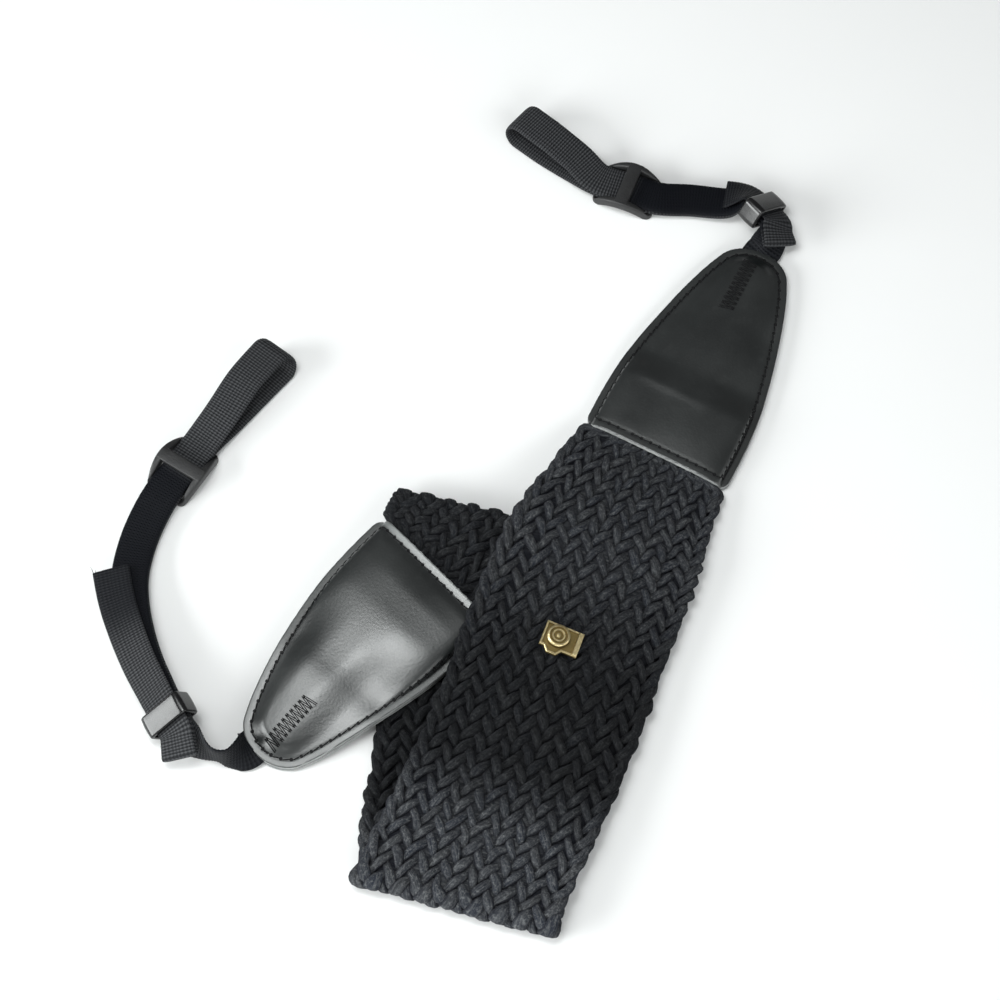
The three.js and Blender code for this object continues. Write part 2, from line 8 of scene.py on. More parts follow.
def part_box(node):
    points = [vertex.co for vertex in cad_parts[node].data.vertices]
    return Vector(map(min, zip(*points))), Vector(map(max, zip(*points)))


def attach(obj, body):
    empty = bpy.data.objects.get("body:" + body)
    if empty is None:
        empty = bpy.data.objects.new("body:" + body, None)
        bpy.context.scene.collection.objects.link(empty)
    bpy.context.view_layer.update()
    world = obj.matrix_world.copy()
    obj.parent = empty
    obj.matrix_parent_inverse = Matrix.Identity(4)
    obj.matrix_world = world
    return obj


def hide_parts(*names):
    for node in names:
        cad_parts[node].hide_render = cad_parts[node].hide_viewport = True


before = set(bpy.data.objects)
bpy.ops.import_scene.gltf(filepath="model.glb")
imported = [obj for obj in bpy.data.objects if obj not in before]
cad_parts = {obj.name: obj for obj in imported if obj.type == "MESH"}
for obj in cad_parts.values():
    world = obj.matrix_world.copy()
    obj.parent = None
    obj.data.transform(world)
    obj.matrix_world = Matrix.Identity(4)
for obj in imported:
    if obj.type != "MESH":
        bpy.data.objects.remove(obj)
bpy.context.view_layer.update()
mm = 0.001
print("frame: %d solids" % len(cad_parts))

# the tables are in millimetres as the strap was laid out: x right, y away, z up
sliderSpots = {
    "left": {"x": -102.6, "y": 9.6, "heading": 57},
    "right": {"x": 43.6, "y": 115.2, "heading": 159},
}
lowCorner, highCorner = (np.array(corner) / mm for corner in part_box("left_tri_glide"))
shift = (lowCorner + highCorner) / 2 - [sliderSpots["left"]["x"], sliderSpots["left"]["y"], 0]
shift[2] = 0
up = np.array([0.0, 0.0, 1.0])


def smooth(t):
    t = np.clip(t, 0, 1)
    return t * t * (3 - 2 * t)


def unit(v):
    return v / np.linalg.norm(v, axis=-1, keepdims=True)


def flat(degrees):
    turn = np.radians(np.asarray(degrees, float))
    return np.stack([np.cos(turn), np.sin(turn), np.zeros_like(turn)], -1)


def between(rows, t):  # smooth values between table rows, t counted in rows
    rows, t = np.asarray(rows, float), np.atleast_1d(np.asarray(t, float))
    last = len(rows) - 1
    i = np.minimum(t.astype(int), last - 1)
    u = (t - i)[:, None]
    a, b, c, d = (rows[np.clip(i + k, 0, last)] for k in (-1, 0, 1, 2))
    slopeB, slopeC, rise = (c - a) / 2, (d - b) / 2, c - b
    return b + u * (slopeB + u * (3 * rise - 2 * slopeB - slopeC + u * (slopeB + slopeC - 2 * rise)))


def reachAlong(points):  # how far along a line each of its points is
    return np.concatenate([[0], np.cumsum(np.linalg.norm(np.diff(points, axis=0), axis=1))])


def sampled(at, reach, points):  # a line's values at the reaches asked for
    return np.stack([np.interp(at, reach, column) for column in points.T], -1)


def spaced(points, step):  # the same line with points an even step apart
    reach = reachAlong(points)
    at = np.linspace(0, reach[-1], max(2, int(round(reach[-1] / step)) + 1))
    return sampled(at, reach, points)


def spacedLoop(points, step):
    return spaced(np.vstack([points, points[:1]]), step)[:-1]


def quads(*corners):
    return np.stack(corners, -1).reshape(-1, 4)


def addObject(name, data):
    thing = bpy.data.objects.new(name, data)
    bpy.context.scene.collection.objects.link(thing)
    return thing


class Build:  # collects points, faces and surface coordinates of one piece
    def __init__(self):
        self.points, self.faces, self.coords, self.finishes, self.count = [], [], [], [], 0

    def add(self, points, faces, coords):
        self.points.append(points)
        self.faces.extend((np.asarray(face) + self.count).tolist() for face in faces)
        self.coords.extend(coords)
        self.finishes.extend([0] * len(faces))
        self.count += len(points)

    # rings run anticlockwise about the way ahead
    def tube(self, rings, along, lane=0.0, closed=False):
        count, sides = rings.shape[:2]
        spans = count if closed else count - 1
        start = np.arange(spans)[:, None] * sides
        following = (start + sides) % (count * sides)
        k = np.arange(sides)[None, :]
        n = (k + 1) % sides
        faces = list(quads(start + k, start + n, following + n, following + k))
        u0, u1 = along[:spans, None], np.roll(along, -1)[:spans, None]
        v0 = lane + k / sides
        v1 = v0 + 1 / sides
        corners = np.broadcast_arrays(u0, v0, u0, v1, u1, v1, u1, v0)
        coords = np.stack(corners, -1).reshape(-1, 2).tolist()
        if not closed:
            faces += [np.arange(sides)[::-1], np.arange(sides) + (count - 1) * sides]
            coords += [[along[0], lane]] * sides + [[along[-1], lane]] * sides
        self.add(rings.reshape(-1, 3), faces, coords)

    def piece(self, name, materials, slot, stands=(), sharp=None):
        mesh = bpy.data.meshes.new(name)
        mesh.from_pydata(((np.concatenate(self.points) + shift) * mm).tolist(), [], self.faces)
        mesh.uv_layers.new(name="lie").data.foreach_set("uv", np.asarray(self.coords, float).ravel())
        for material in materials:
            mesh.materials.append(material)
        mesh.polygons.foreach_set("material_index", self.finishes)
        mesh.polygons.foreach_set("use_smooth", [True] * len(self.faces))
        if sharp:
            mesh.set_sharp_from_angle(angle=math.radians(sharp))
        mesh.update()
        piece = addObject(name, mesh)
        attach(piece, "root")
        if stands:
            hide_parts(*stands)
        print("%s: %d faces" % (name, len(self.faces)))
        return piece


# node helpers
def feed(tree, socket, value):
    if isinstance(value, bpy.types.NodeSocket):
        tree.links.new(value, socket)
    else:
        socket.default_value = value


def put(tree, kind, values=None, **settings):
    node = tree.nodes.new("ShaderNode" + kind)
    for key, value in settings.items():
        setattr(node, key, value)
    for key, value in (values or {}).items():
        feed(tree, node.inputs[key], value)
    return node


def newGroup(name, inputs, outputs):  # an input without a value is a vector
    tree = bpy.data.node_groups.new(name, "ShaderNodeTree")
    for label, value in inputs.items():
        kind = "NodeSocketFloat" if value else "NodeSocketVector"
        socket = tree.interface.new_socket(name=label, in_out="INPUT", socket_type=kind)
        if value:
            socket.default_value = value
    for label in outputs:
        tree.interface.new_socket(name=label, in_out="OUTPUT", socket_type="NodeSocketFloat")
    return tree, tree.nodes.new("NodeGroupInput").outputs, tree.nodes.new("NodeGroupOutput").inputs


def use(tree, group, **values):
    node = tree.nodes.new("ShaderNodeGroup")
    node.node_tree = group
    for key, value in values.items():
        feed(tree, node.inputs[key], value)
    return node.outputs


def maths(tree, operation, *values):
    return put(tree, "Math", dict(enumerate(values)), operation=operation).outputs[0]


def wave(tree, value, turns):
    return maths(tree, "SINE", maths(tree, "MULTIPLY", value, 2 * math.pi * turns))


def split(tree, vector):
    return put(tree, "SeparateXYZ", {"Vector": vector}).outputs


def surface(tree):  # the piece's own coordinates, along and across
    return put(tree, "UVMap", uv_map="lie").outputs["UV"]


def noise(tree, place, scale, detail, roughness=0.5, distortion=0.0):
    values = {"Vector": place, "Scale": scale, "Detail": detail}
    values.update({"Roughness": roughness, "Distortion": distortion})
    return put(tree, "TexNoise", values).outputs["Fac"]


def mixed(tree, factor, dark, light):
    node = put(tree, "Mix", {"Factor": factor}, data_type="RGBA")
    colours = [socket for socket in node.inputs if socket.type == "RGBA"]
    for socket, value in zip(colours, (dark, light)):
        feed(tree, socket, value)
    return next(socket for socket in node.outputs if socket.type == "RGBA")


def ranged(tree, value, low, high, fromLow=0.3, fromHigh=0.7, kind="LINEAR"):
    values = {"Value": value, "From Min": fromLow, "From Max": fromHigh, "To Min": low, "To Max": high}
    return put(tree, "MapRange", values, interpolation_type=kind).outputs["Result"]


def rangedSoft(tree, value, low, high, fromLow, fromHigh):
    return ranged(tree, value, low, high, fromLow, fromHigh, "SMOOTHSTEP")


# fine threads that run along a cord or a strip, from its own surface coordinates
def makeThreads():
    inputs = {"Lie": None, "Count": 12.0, "Length": 6.0, "Twist": 0.1}
    tree, given, out = newGroup("threads", inputs, ("Height", "Tone", "Fuzz"))
    lie = split(tree, given["Lie"])
    slant = maths(tree, "MULTIPLY", lie["X"], given["Twist"])
    lane = maths(tree, "MULTIPLY_ADD", lie["Y"], given["Count"], slant)
    along = maths(tree, "DIVIDE", lie["X"], given["Length"])
    place = put(tree, "CombineXYZ", {"X": along, "Y": lane}).outputs[0]
    tree.links.new(noise(tree, place, 1.0, 3.0, 0.6), out["Height"])
    tree.links.new(noise(tree, place, 0.23, 2.0), out["Tone"])
    girth = maths(tree, "MULTIPLY", lie["Y"], 8.0)  # millimetres round a cord
    spot = put(tree, "CombineXYZ", {"X": lie["X"], "Y": girth}).outputs[0]
    tree.links.new(noise(tree, spot, 1.2, 3.0, 0.85), out["Fuzz"])
    return tree


# pores, pebbles and broad unevenness of a skin, from the place in the part
def makeGrain():
    tree, given, out = newGroup("grain", {"Pebble": 900.0, "Patch": 40.0}, ("Height", "Tone", "Scuff"))
    place = put(tree, "TexCoord").outputs["Object"]
    pebble = put(tree, "TexVoronoi", {"Vector": place, "Scale": given["Pebble"]}, feature="SMOOTH_F1")
    fine = noise(tree, place, given["Pebble"], 4.0, 0.65)
    tree.links.new(maths(tree, "ADD", pebble.outputs["Distance"], fine), out["Height"])
    tree.links.new(noise(tree, place, given["Patch"], 3.0, 0.55), out["Tone"])
    marks = noise(tree, place, 260.0, 5.0, 0.7, 0.6)
    tree.links.new(ranged(tree, marks, 0, 1, 0.55, 0.75), out["Scuff"])
    return tree


threads = makeThreads()
grain = makeGrain()


def newFinish(name, roughness, **sockets):
    material = bpy.data.materials.new(name)
    material.use_nodes = True
    shader = material.node_tree.nodes["Principled BSDF"].inputs
    shader["Roughness"].default_value = roughness
    for key, value in sockets.items():
        shader[key.replace("_", " ")].default_value = value
    return material, material.node_tree, shader


def finished(finish, tone, height, strength, depth):
    material, tree, shader = finish
    bump = put(tree, "Bump", {"Height": height, "Strength": strength, "Distance": depth})
    tree.links.new(tone, shader["Base Color"])
    tree.links.new(bump.outputs["Normal"], shader["Normal"])
    return material


cottonLook = {
    "blue": (0.024, 0.028, 0.038, 1), "plain": (0.038, 0.039, 0.041, 1), "lit": (0.076, 0.080, 0.086, 1),
    "lint": (0.150, 0.155, 0.160, 1), "deep": (0.009, 0.010, 0.015, 1), "sheen": (0.6, 0.63, 0.7, 1),
    # painted shade and painted light along the band
    "paintedShade": 0.2, "paintedLightUpper": 0.66, "paintedLightLower": 0.12,  # share of the full tone
}


def makeCotton(fold):  # fold is how far along the band it is, in millimetres
    look = cottonLook
    finish = newFinish("cotton", 0.95, Sheen_Weight=0.06, Sheen_Roughness=0.4, Specular_IOR_Level=0.15,
                       Sheen_Tint=look["sheen"])
    tree = finish[1]
    lie = surface(tree)
    fibre = use(tree, threads, Lie=lie, Count=22.0, Length=2.4, Twist=0.3)
    along, across = split(tree, lie)[:2]
    cord = maths(tree, "FLOOR", across)
    own = put(tree, "TexWhiteNoise", {"W": cord}, noise_dimensions="1D").outputs["Value"]
    strand = mixed(tree, own, look["blue"], look["plain"])
    lit = mixed(tree, ranged(tree, fibre["Height"], 0, 0.85, 0.44, 0.6), strand, look["lit"])
    dusty = mixed(tree, ranged(tree, fibre["Fuzz"], 0, 0.9, 0.5, 0.62), lit, look["lint"])
    patchy = mixed(tree, ranged(tree, fibre["Tone"], 0, 0.45), dusty, look["deep"])
    # painted shade: darker down the sides of each cord, where light doesn't reach
    crown = maths(tree, "ABSOLUTE", wave(tree, across, 1))
    deep = mixed(tree, rangedSoft(tree, crown, 0.85, 0, 0.3, 0.9), patchy, look["deep"])
    # painted light and shade along the band: lighter round the fold and towards both ends, darker in between
    before = rangedSoft(tree, along, 0, 1, fold - 30, fold - 6)
    after = rangedSoft(tree, along, 1, 0, fold + 24, fold + 54)
    upper = rangedSoft(tree, along, 0, look["paintedLightUpper"], fold + 78, fold + 128)
    lower = rangedSoft(tree, along, look["paintedLightLower"], 0, 45, 100)
    ends = maths(tree, "MAXIMUM", lower, upper)
    paintedLight = maths(tree, "MAXIMUM", maths(tree, "MINIMUM", before, after), ends)
    value = ranged(tree, paintedLight, look["paintedShade"], 1, 0, 1)
    shadedTone = put(tree, "HueSaturation", {"Color": deep, "Value": value}).outputs["Color"]
    height = maths(tree, "MULTIPLY_ADD", fibre["Fuzz"], 0.8, fibre["Height"])
    return finished(finish, shadedTone, height, 0.9, 0.0006)


skinLooks = {
    "leather": {
        "dark": (0.0058, 0.0074, 0.0076, 1), "light": (0.0102, 0.0124, 0.0124, 1),
        # painted highlight: paler at the straight end and along the free edges
        "scuffed": (0.034, 0.037, 0.036, 1), "rubbedAndLit": (0.30, 0.315, 0.31, 1),  # paler along the free edges
        "roughness": 0.32, "span": (0.31, 0.4), "pebble": 1300.0, "patch": 45.0, "bump": (0.12, 0.0002),
    },
    "cutEdge": {
        "dark": (0.2, 0.207, 0.207, 1), "light": (0.42, 0.43, 0.425, 1),
        "roughness": 0.8, "pebble": 2500.0, "patch": 160.0, "bump": (0.5, 0.0004),
    },
    "moulded": {
        "dark": (0.010, 0.010, 0.0105, 1), "light": (0.019, 0.019, 0.020, 1),
        "scuffed": (0.05, 0.05, 0.05, 1),
        "roughness": 0.5, "span": (0.425, 0.6), "pebble": 1800.0, "patch": 120.0, "bump": (0.3, 0.0002),
    },
    "glossy": {
        "dark": (0.005, 0.005, 0.0055, 1), "light": (0.010, 0.010, 0.0105, 1),
        "scuffed": (0.05, 0.05, 0.05, 1),
        "roughness": 0.2, "span": (0.17, 0.24), "pebble": 700.0, "patch": 120.0, "bump": (0.03, 0.0002),
    },
}


def makeSkin(name, **sockets):
    look = skinLooks[name]
    finish = newFinish(name, look["roughness"], **sockets)
    _, tree, shader = finish
    skin = use(tree, grain, Pebble=look["pebble"], Patch=look["patch"])
    tone = mixed(tree, ranged(tree, skin["Tone"], 0, 1), look["dark"], look["light"])
    if "scuffed" in look:
        tone = mixed(tree, ranged(tree, skin["Scuff"], 0, 0.3, 0, 1), tone, look["scuffed"])
    if "rubbedAndLit" in look:
        # painted highlight, its strength carried in the first surface coordinate
        tone = mixed(tree, split(tree, surface(tree))["X"], tone, look["rubbedAndLit"])
    if "span" in look:
        tree.links.new(ranged(tree, skin["Tone"], *look["span"]), shader["Roughness"])
    return finished(finish, tone, skin["Height"], *look["bump"])


threadLook = {"dark": (0.002, 0.002, 0.0022, 1), "light": (0.008, 0.008, 0.009, 1)}


def makeThread():
    finish = newFinish("thread", 0.7, Specular_IOR_Level=0.2)
    tree = finish[1]
    ply = use(tree, threads, Lie=surface(tree), Count=5.0, Length=1.2, Twist=2.2)
    tone = mixed(tree, ranged(tree, ply["Height"], 0, 1), threadLook["dark"], threadLook["light"])
    return finished(finish, tone, ply["Height"], 0.5, 0.0002)


webbing = {
    "width": 12.0, "thick": 1.3, "rise": 1.6, "rib": 0.95, "ribDepth": 0.14, "stripes": 26, "ringStep": 0.24,
    "sewnHeight": 2.35, "sliderHeight": 2.95, "loopHeight": 8.1,
    "sewnAt": (0.7, 0.8, 0.9, 0.985),  # share of the tab's length
    "fray": {"left": (3.4, 1.6), "right": (1.4,)},
}
nylonLook = {
    # crest and valley tones are a painted highlight and painted shade on the weave
    "valley": (0.0022, 0.0026, 0.0038, 1), "crest": (0.060, 0.062, 0.066, 1),
    # painted shade: the darker tones along the strip
    "paintedShade": (0.0016, 0.0021, 0.0038, 1), "paintedShadeCrest": (0.0042, 0.0050, 0.0078, 1),
    "yarn": (0.066, 0.067, 0.071, 1),
}


# slider and end are how far along the webbing they are, tail is the length of the tail painted lighter
def makeNylon(name, slider, end, tail):
    look = nylonLook
    finish = newFinish(name, 0.6, Sheen_Weight=0.02, Sheen_Roughness=0.4, Specular_IOR_Level=0.12)
    tree = finish[1]
    lie = surface(tree)
    along, across = split(tree, lie)[:2]
    rib, stripe = wave(tree, along, 1 / webbing["rib"]), wave(tree, across, webbing["stripes"])
    yarn = use(tree, threads, Lie=lie, Count=60.0, Length=0.6, Twist=0.0)
    # painted highlight on the rib and stripe crests, painted shade in the valleys
    grid = maths(tree, "MULTIPLY_ADD", stripe, 0.55, rib)
    crest = mixed(tree, ranged(tree, grid, 0, 1, -0.6, 1.3), look["valley"], look["crest"])
    pale = mixed(tree, ranged(tree, yarn["Height"], 0, 0.25), crest, look["yarn"])
    dark = mixed(tree, ranged(tree, rib, 0, 0.6, -0.7, 0.9), look["paintedShade"], look["paintedShadeCrest"])
    # painted shade: dark near the tab and between the slider and the free end, lighter on the loop and the
    # tail
    sewn = rangedSoft(tree, along, 0.15, 1, 34, 48)
    loop = rangedSoft(tree, along, 1, 0, slider - 2, slider + 5)
    folded = rangedSoft(tree, along, 0, 1, end - tail - 6, end - tail + 6)
    free = rangedSoft(tree, along, 1, 0.25, end - 30, end - 14)
    paintedLight = maths(tree, "MAXIMUM", loop, maths(tree, "MULTIPLY", folded, free))
    tone = mixed(tree, maths(tree, "MINIMUM", paintedLight, sewn), dark, pale)
    height = maths(tree, "MULTIPLY_ADD", maths(tree, "MULTIPLY", rib, stripe), 0.5, yarn["Height"])
    return finished(finish, tone, height, 0.4, 0.00025)


brassLook = {"sunk": (0.21, 0.155, 0.062, 1), "rubbedAndLit": (0.76, 0.63, 0.35, 1)}


def makeBrass():
    finish = newFinish("brass", 0.36, Metallic=1.0)
    _, tree, shader = finish
    height = split(tree, surface(tree))["X"]  # above the badge's sunk face
    skin = use(tree, grain, Pebble=2200.0, Patch=420.0)
    rubbedAndLit = ranged(tree, height, 0, 1, 0.05, 0.5)
    uneven = maths(tree, "MULTIPLY", rubbedAndLit, ranged(tree, skin["Tone"], 0.6, 1.25))
    tone = mixed(tree, uneven, brassLook["sunk"], brassLook["rubbedAndLit"])
    tree.links.new(ranged(tree, uneven, 0.5, 0.3, 0, 1), shader["Roughness"])
    return finished(finish, tone, skin["Height"], 0.25, 0.0002)


leather = makeSkin("leather", IOR=1.7, Specular_IOR_Level=0.7)
cutEdge, moulded, glossy = makeSkin("cutEdge"), makeSkin("moulded"), makeSkin("glossy")
thread, brass = makeThread(), makeBrass()
print("finishes ready")

# end tabs, two leather leaves each
tabs = {
    "left": {
        "x": -20.1, "y": -28.2, "heading": -132.1, "length": 80.6, "skew": 4.6, "lift": 4.55, "webSide": -3.5,
        "step": (21, 47), "ridge": 0, "pillow": 1.3, "pull": 0.7, "paintedLight": 0.42,
        "tack": {"from": 57.5, "to": 77, "middle": 0.8},
    },
    "right": {
        "x": 49.8, "y": 13.8, "heading": 63.3, "length": 86, "skew": 1.8, "lift": 0, "webSide": 0.8,
        "step": (23, 35), "ridge": 0.22, "pillow": 0.05, "pull": 0.12, "paintedLight": 0.03,
        "tack": {"from": 59, "to": 80, "middle": 1.6},
    },
}
tabShape = {
    # share of the length, half width
    "sides": [(0.05, 25.6), (0.18, 25.6), (0.34, 24.7), (0.52, 22), (0.7, 18.4), (0.84, 14.8), (0.92, 12)],
    "nose": (19, 88),  # part of an ellipse, in degrees
    "corner": 4.0, "thick": 1.4, "gap": 0.3, "bandFill": 4.0, "webFill": 2.3, "flange": 2.4, "drop": (48, 84),
    "rolled": 0.3, "seam": 2.5, "seamDepth": 0.14, "seamStep": 0.3, "stitch": 3.3, "stitchShare": 0.36,
    "stitchSlant": 0.16, "stitchRadius": 0.2, "holeRadius": 0.6,
    "rim": (0, 0.12, 0.3, 0.6, 1.1, 1.6, 2.0, 2.25, 2.5, 2.75, 3.0, 3.4, 4, 5, 6.4),  # grid near the edge
}
tackShape = {"turns": 10, "half": 2.6, "radius": 0.14, "step": 0.4, "runs": (0, 0.62)}  # gone over twice


def placeOn(tab, a, b, z):  # a along the tab, b to the left of its middle, z above its underside
    a, b, z = np.broadcast_arrays(np.asarray(a, float), b, z)
    start, end = tabShape["drop"]
    lift = tab["lift"] * (1 - smooth((a - start) / (end - start)))
    skew = b * math.tan(math.radians(tab["skew"])) * (1 - smooth(a / start))
    middle = np.array([tab["x"], tab["y"], 0])
    ahead, left = flat(tab["heading"]), flat(tab["heading"] + 90)
    return middle + (a + skew)[..., None] * ahead + b[..., None] * left + (z + lift)[..., None] * up


def tabRows(tab):  # distance from the straight end and half width, finely
    sides, r = np.array(tabShape["sides"]), tabShape["corner"]
    turn = np.radians(np.linspace(0, 90, 10))[:-1]
    corner = np.stack([r * (1 - np.cos(turn)), sides[0, 1] - r * (1 - np.sin(turn))], -1)
    flank = between(sides, np.linspace(0, len(sides) - 1, 67))
    start, *turn = np.radians(np.linspace(*tabShape["nose"], 19))
    reach = (1 - sides[-1, 0]) * (np.sin(turn) - math.sin(start)) / (1 - math.sin(start))
    nose = np.stack([sides[-1, 0] + reach, sides[-1, 1] * np.cos(turn) / math.cos(start)], -1)
    return np.concatenate([corner, flank * [tab["length"], 1], nose * [tab["length"], 1]])


def tabOutline(rows):  # once round, from the straight end's middle, in (a, b)
    end = np.array([[0, -rows[0, 1] / 2], [0, rows[0, 1] / 2]])
    return spaced(np.concatenate([end[1:], rows, rows[::-1] * [1, -1], end]), 0.5)


def edgeDistance(a, b, outline):
    parts = np.array_split(np.stack([a.ravel(), b.ravel()], -1), 40)
    gaps = [np.sqrt(((part[:, None] - outline) ** 2).sum(-1)).min(1) for part in parts]
    return np.concatenate(gaps).reshape(a.shape)


def topHeight(tab, rows, outline, a, b):  # outer face of the upper leaf
    s = tabShape
    edge = edgeDistance(a, b, outline)
    full = np.interp(a, rows[:, 0], np.where(rows[:, 0] < s["corner"], rows[:, 1].max(), rows[:, 1]))
    start, end = tab["step"]
    bandShare = 1 - smooth((a - start) / (end - start))
    v = np.clip(np.abs(b) / np.maximum(full - s["flange"], 1), 0, 1)
    overBand = (1 - v ** 4) ** 0.25
    overWeb = 1 - smooth((np.abs(b - tab["webSide"]) - 3) / 13)
    rise = bandShare * (s["bandFill"] - s["gap"]) * overBand
    rise += (1 - bandShare) * (s["webFill"] - s["gap"]) * overWeb * smooth((edge - 2.2) / 5)
    rise += tab["pillow"] * bandShare * smooth((a - 2.5) / 11) * (1 - v ** 2)  # soft filling over the band
    rise += 0.5 * (1 - bandShare) * smooth((edge - 2.5) / 9)
    rise -= tab["pull"] * overBand * np.exp(-((a - s["seam"]) / 2.2) ** 2)  # pulled down by the end seam
    waves = np.sin(a / 6.3 + b / 8.1 + 1.1) * 0.6 + np.sin(a / 9.7 - b / 4.9) * 0.4
    rise += 0.13 * smooth((edge - 4) / 6) * waves
    crease = smooth((17.5 - b) / 4) * smooth((b + 10) / 6)  # the band's end shows through
    rise += tab["ridge"] * crease * np.exp(-((a - 23.2 - 0.03 * b) / 1.2) ** 2)
    seam = s["seamDepth"] * np.exp(-((edge - s["seam"]) / 0.45) ** 2)
    rolled = s["rolled"] * np.clip(1 - edge / 0.35, 0, 1) ** 2
    return s["thick"] * 2 + s["gap"] + rise - seam - rolled


def leafGrid(rows):
    half = rows[:, 1:2]
    rims = np.array(tabShape["rim"]) * np.minimum(1, half / 9)
    inner = half - rims[:, -1:]
    middle = inner * np.linspace(1, -1, 27)[1:-1]
    b = np.concatenate([half - rims, middle, -(half - rims)[:, ::-1]], 1)
    return np.broadcast_to(rows[:, :1], b.shape), b


def addLeaf(build, tab, a, b, top, bottom, paintedLitEdge):
    points = np.concatenate([placeOn(tab, a, b, z).reshape(-1, 3) for z in (top, bottom)])
    g = np.arange(a.size).reshape(a.shape)
    h = g + a.size
    cut = np.concatenate([
        quads(g[:-1, 0], g[1:, 0], h[1:, 0], h[:-1, 0]),
        quads(g[:-1, -1], h[:-1, -1], h[1:, -1], g[1:, -1]),
        quads(g[0, :-1], h[0, :-1], h[0, 1:], g[0, 1:]),
        quads(g[-1, :-1], g[-1, 1:], h[-1, 1:], h[-1, :-1]),
    ])
    upper = quads(g[:-1, :-1], g[:-1, 1:], g[1:, 1:], g[1:, :-1])
    lower = quads(h[:-1, :-1], h[1:, :-1], h[1:, 1:], h[:-1, 1:])
    faces = np.concatenate([upper, lower, cut])
    spot = np.tile(np.stack([paintedLitEdge.ravel(), a.ravel()], -1), (2, 1))
    build.add(points, faces, spot[faces.ravel()].tolist())
    build.finishes[-len(cut):] = [1] * len(cut)


def threadRings(line, radius):  # thin thread along a line of points that lies on a face
    ahead = unit(np.gradient(line, axis=0))
    across = unit(np.cross(up, ahead))
    raised = np.cross(ahead, across)
    turn = np.arange(6) * math.pi / 3
    ring = np.cos(turn)[:, None] * across[:, None] + np.sin(turn)[:, None] * raised[:, None]
    return line[:, None] + np.reshape(radius, (-1, 1, 1)) * ring


def addHole(build, tab, a, b, heightAt):  # dark dimple that the thread goes into
    turn = np.radians(np.arange(0, 360, 45))
    rings = []
    for share, rise in ((0.9, -0.3), (1, 0.1), (0.8, 0.17), (0.4, 0.1)):
        radius = share * tabShape["holeRadius"]
        x, y = a + radius * np.cos(turn), b + radius * np.sin(turn)
        rings.append(placeOn(tab, x, y, heightAt(x, y) + rise))
    build.tube(np.array(rings), np.arange(4) * 0.2)


def addSeam(build, tab, outline, heightAt):
    s = tabShape
    tangent = unit(np.roll(outline, -1, 0) - np.roll(outline, 1, 0))
    inward = np.stack([tangent[:, 1], -tangent[:, 0]], -1)
    path = spaced((outline + inward * s["seam"])[1:-1], s["seamStep"])
    reach = np.arange(len(path)) * s["seamStep"]
    t = np.linspace(-1, 1, 7)
    for k, at in enumerate(np.arange(1.5, reach[-1] - 1, s["stitch"])):
        a, b = sampled(at + t * s["stitchShare"] * s["stitch"], reach, path).T
        ahead = sampled(at + 0.4, reach, path) - sampled(at - 0.4, reach, path)
        aside = unit(ahead) @ np.array([[0, 1], [-1, 0]])
        a, b = a + aside[0] * s["stitchSlant"] * t, b + aside[1] * s["stitchSlant"] * t
        line = placeOn(tab, a, b, heightAt(a, b) + 0.2 - 0.5 * t ** 4)
        build.tube(threadRings(line, s["stitchRadius"]), np.linspace(0, 2.2, 7), k)
        addHole(build, tab, *sampled(at + s["stitch"] / 2, reach, path), heightAt)


def addTack(build, tab, heightAt):  # zigzag
    s, tack = tackShape, tab["tack"]
    corner = np.arange(2 * s["turns"] + 1)
    step = (tack["to"] - tack["from"]) / len(corner)
    for run, ahead in enumerate(s["runs"]):
        a = tack["from"] + step * (corner + ahead)
        b = tack["middle"] + s["half"] * np.where(corner % 2 == 0, 1, -1)
        a, b = spaced(np.stack([a, b], -1), s["step"]).T
        points = placeOn(tab, a, b, heightAt(a, b) + 0.1 + 0.12 * run)
        build.tube(threadRings(points, s["radius"]), np.arange(len(points)) * s["step"], run)


for side, tab in tabs.items():
    rows = tabRows(tab)
    outline = tabOutline(rows)
    a, b = leafGrid(rows)
    heightAt = lambda a, b: topHeight(tab, rows, outline, a, b)
    top = heightAt(a, b)
    edge = edgeDistance(a, b, outline)
    # painted highlight at the straight end and along the edges, strongest on the left tab
    paintedLitEdge = tab["paintedLight"] * np.maximum(smooth((2.3 - a) / 0.6), 0.24 * smooth((2.2 - edge) / 0.6))
    rolled = tabShape["rolled"] * np.clip(1 - edge / 0.6, 0, 1) ** 2
    thick = tabShape["thick"]
    leaves = [("upper", "top", top, top - thick), ("lower", "base", thick - rolled, rolled)]
    for leaf, solid, high, low in leaves:
        build = Build()
        addLeaf(build, tab, a, b, high, low, paintedLitEdge)
        stands = [side + "_tab_" + solid]
        build.piece(side + "_tab_%s_leaf" % leaf, [leather, cutEdge], "leather", stands, sharp=50)
    build = Build()
    addSeam(build, tab, outline, heightAt)
    addTack(build, tab, heightAt)
    build.piece(side + "_tab_stitches", [thread], "leather")

# flat braid of soft cords
braid = {
    "thick": 4.2, "layerRise": 4.55, "sewnHeight": 3.25, "columns": 16, "cords": 33, "pitch": 5.95,
    "turnRound": 0.9, "spread": 16.45, "cordThick": 2.15, "cordFill": 0.88, "foldSpread": 0.5, "waist": 0.12,
    "proud": 0.15, "stray": 0.33, "uneven": 0.12, "lumps": 0.06, "boxy": 0.95, "ringStep": 0.8, "sides": 10,
    "knotStep": 3, "inset": 2.8, "groundThick": 0.6, "groundStep": 1.6,
}
# along, width, thickness
sewnRows = [(21.5, 40, 2.8), (12, 40, 2.8), (6, 40.2, 2.8), (0.2, 41.8, 2.8), (-2.3, 52.5, 3.0)]


def level(n):
    return braid["thick"] / 2 + n * braid["layerRise"]


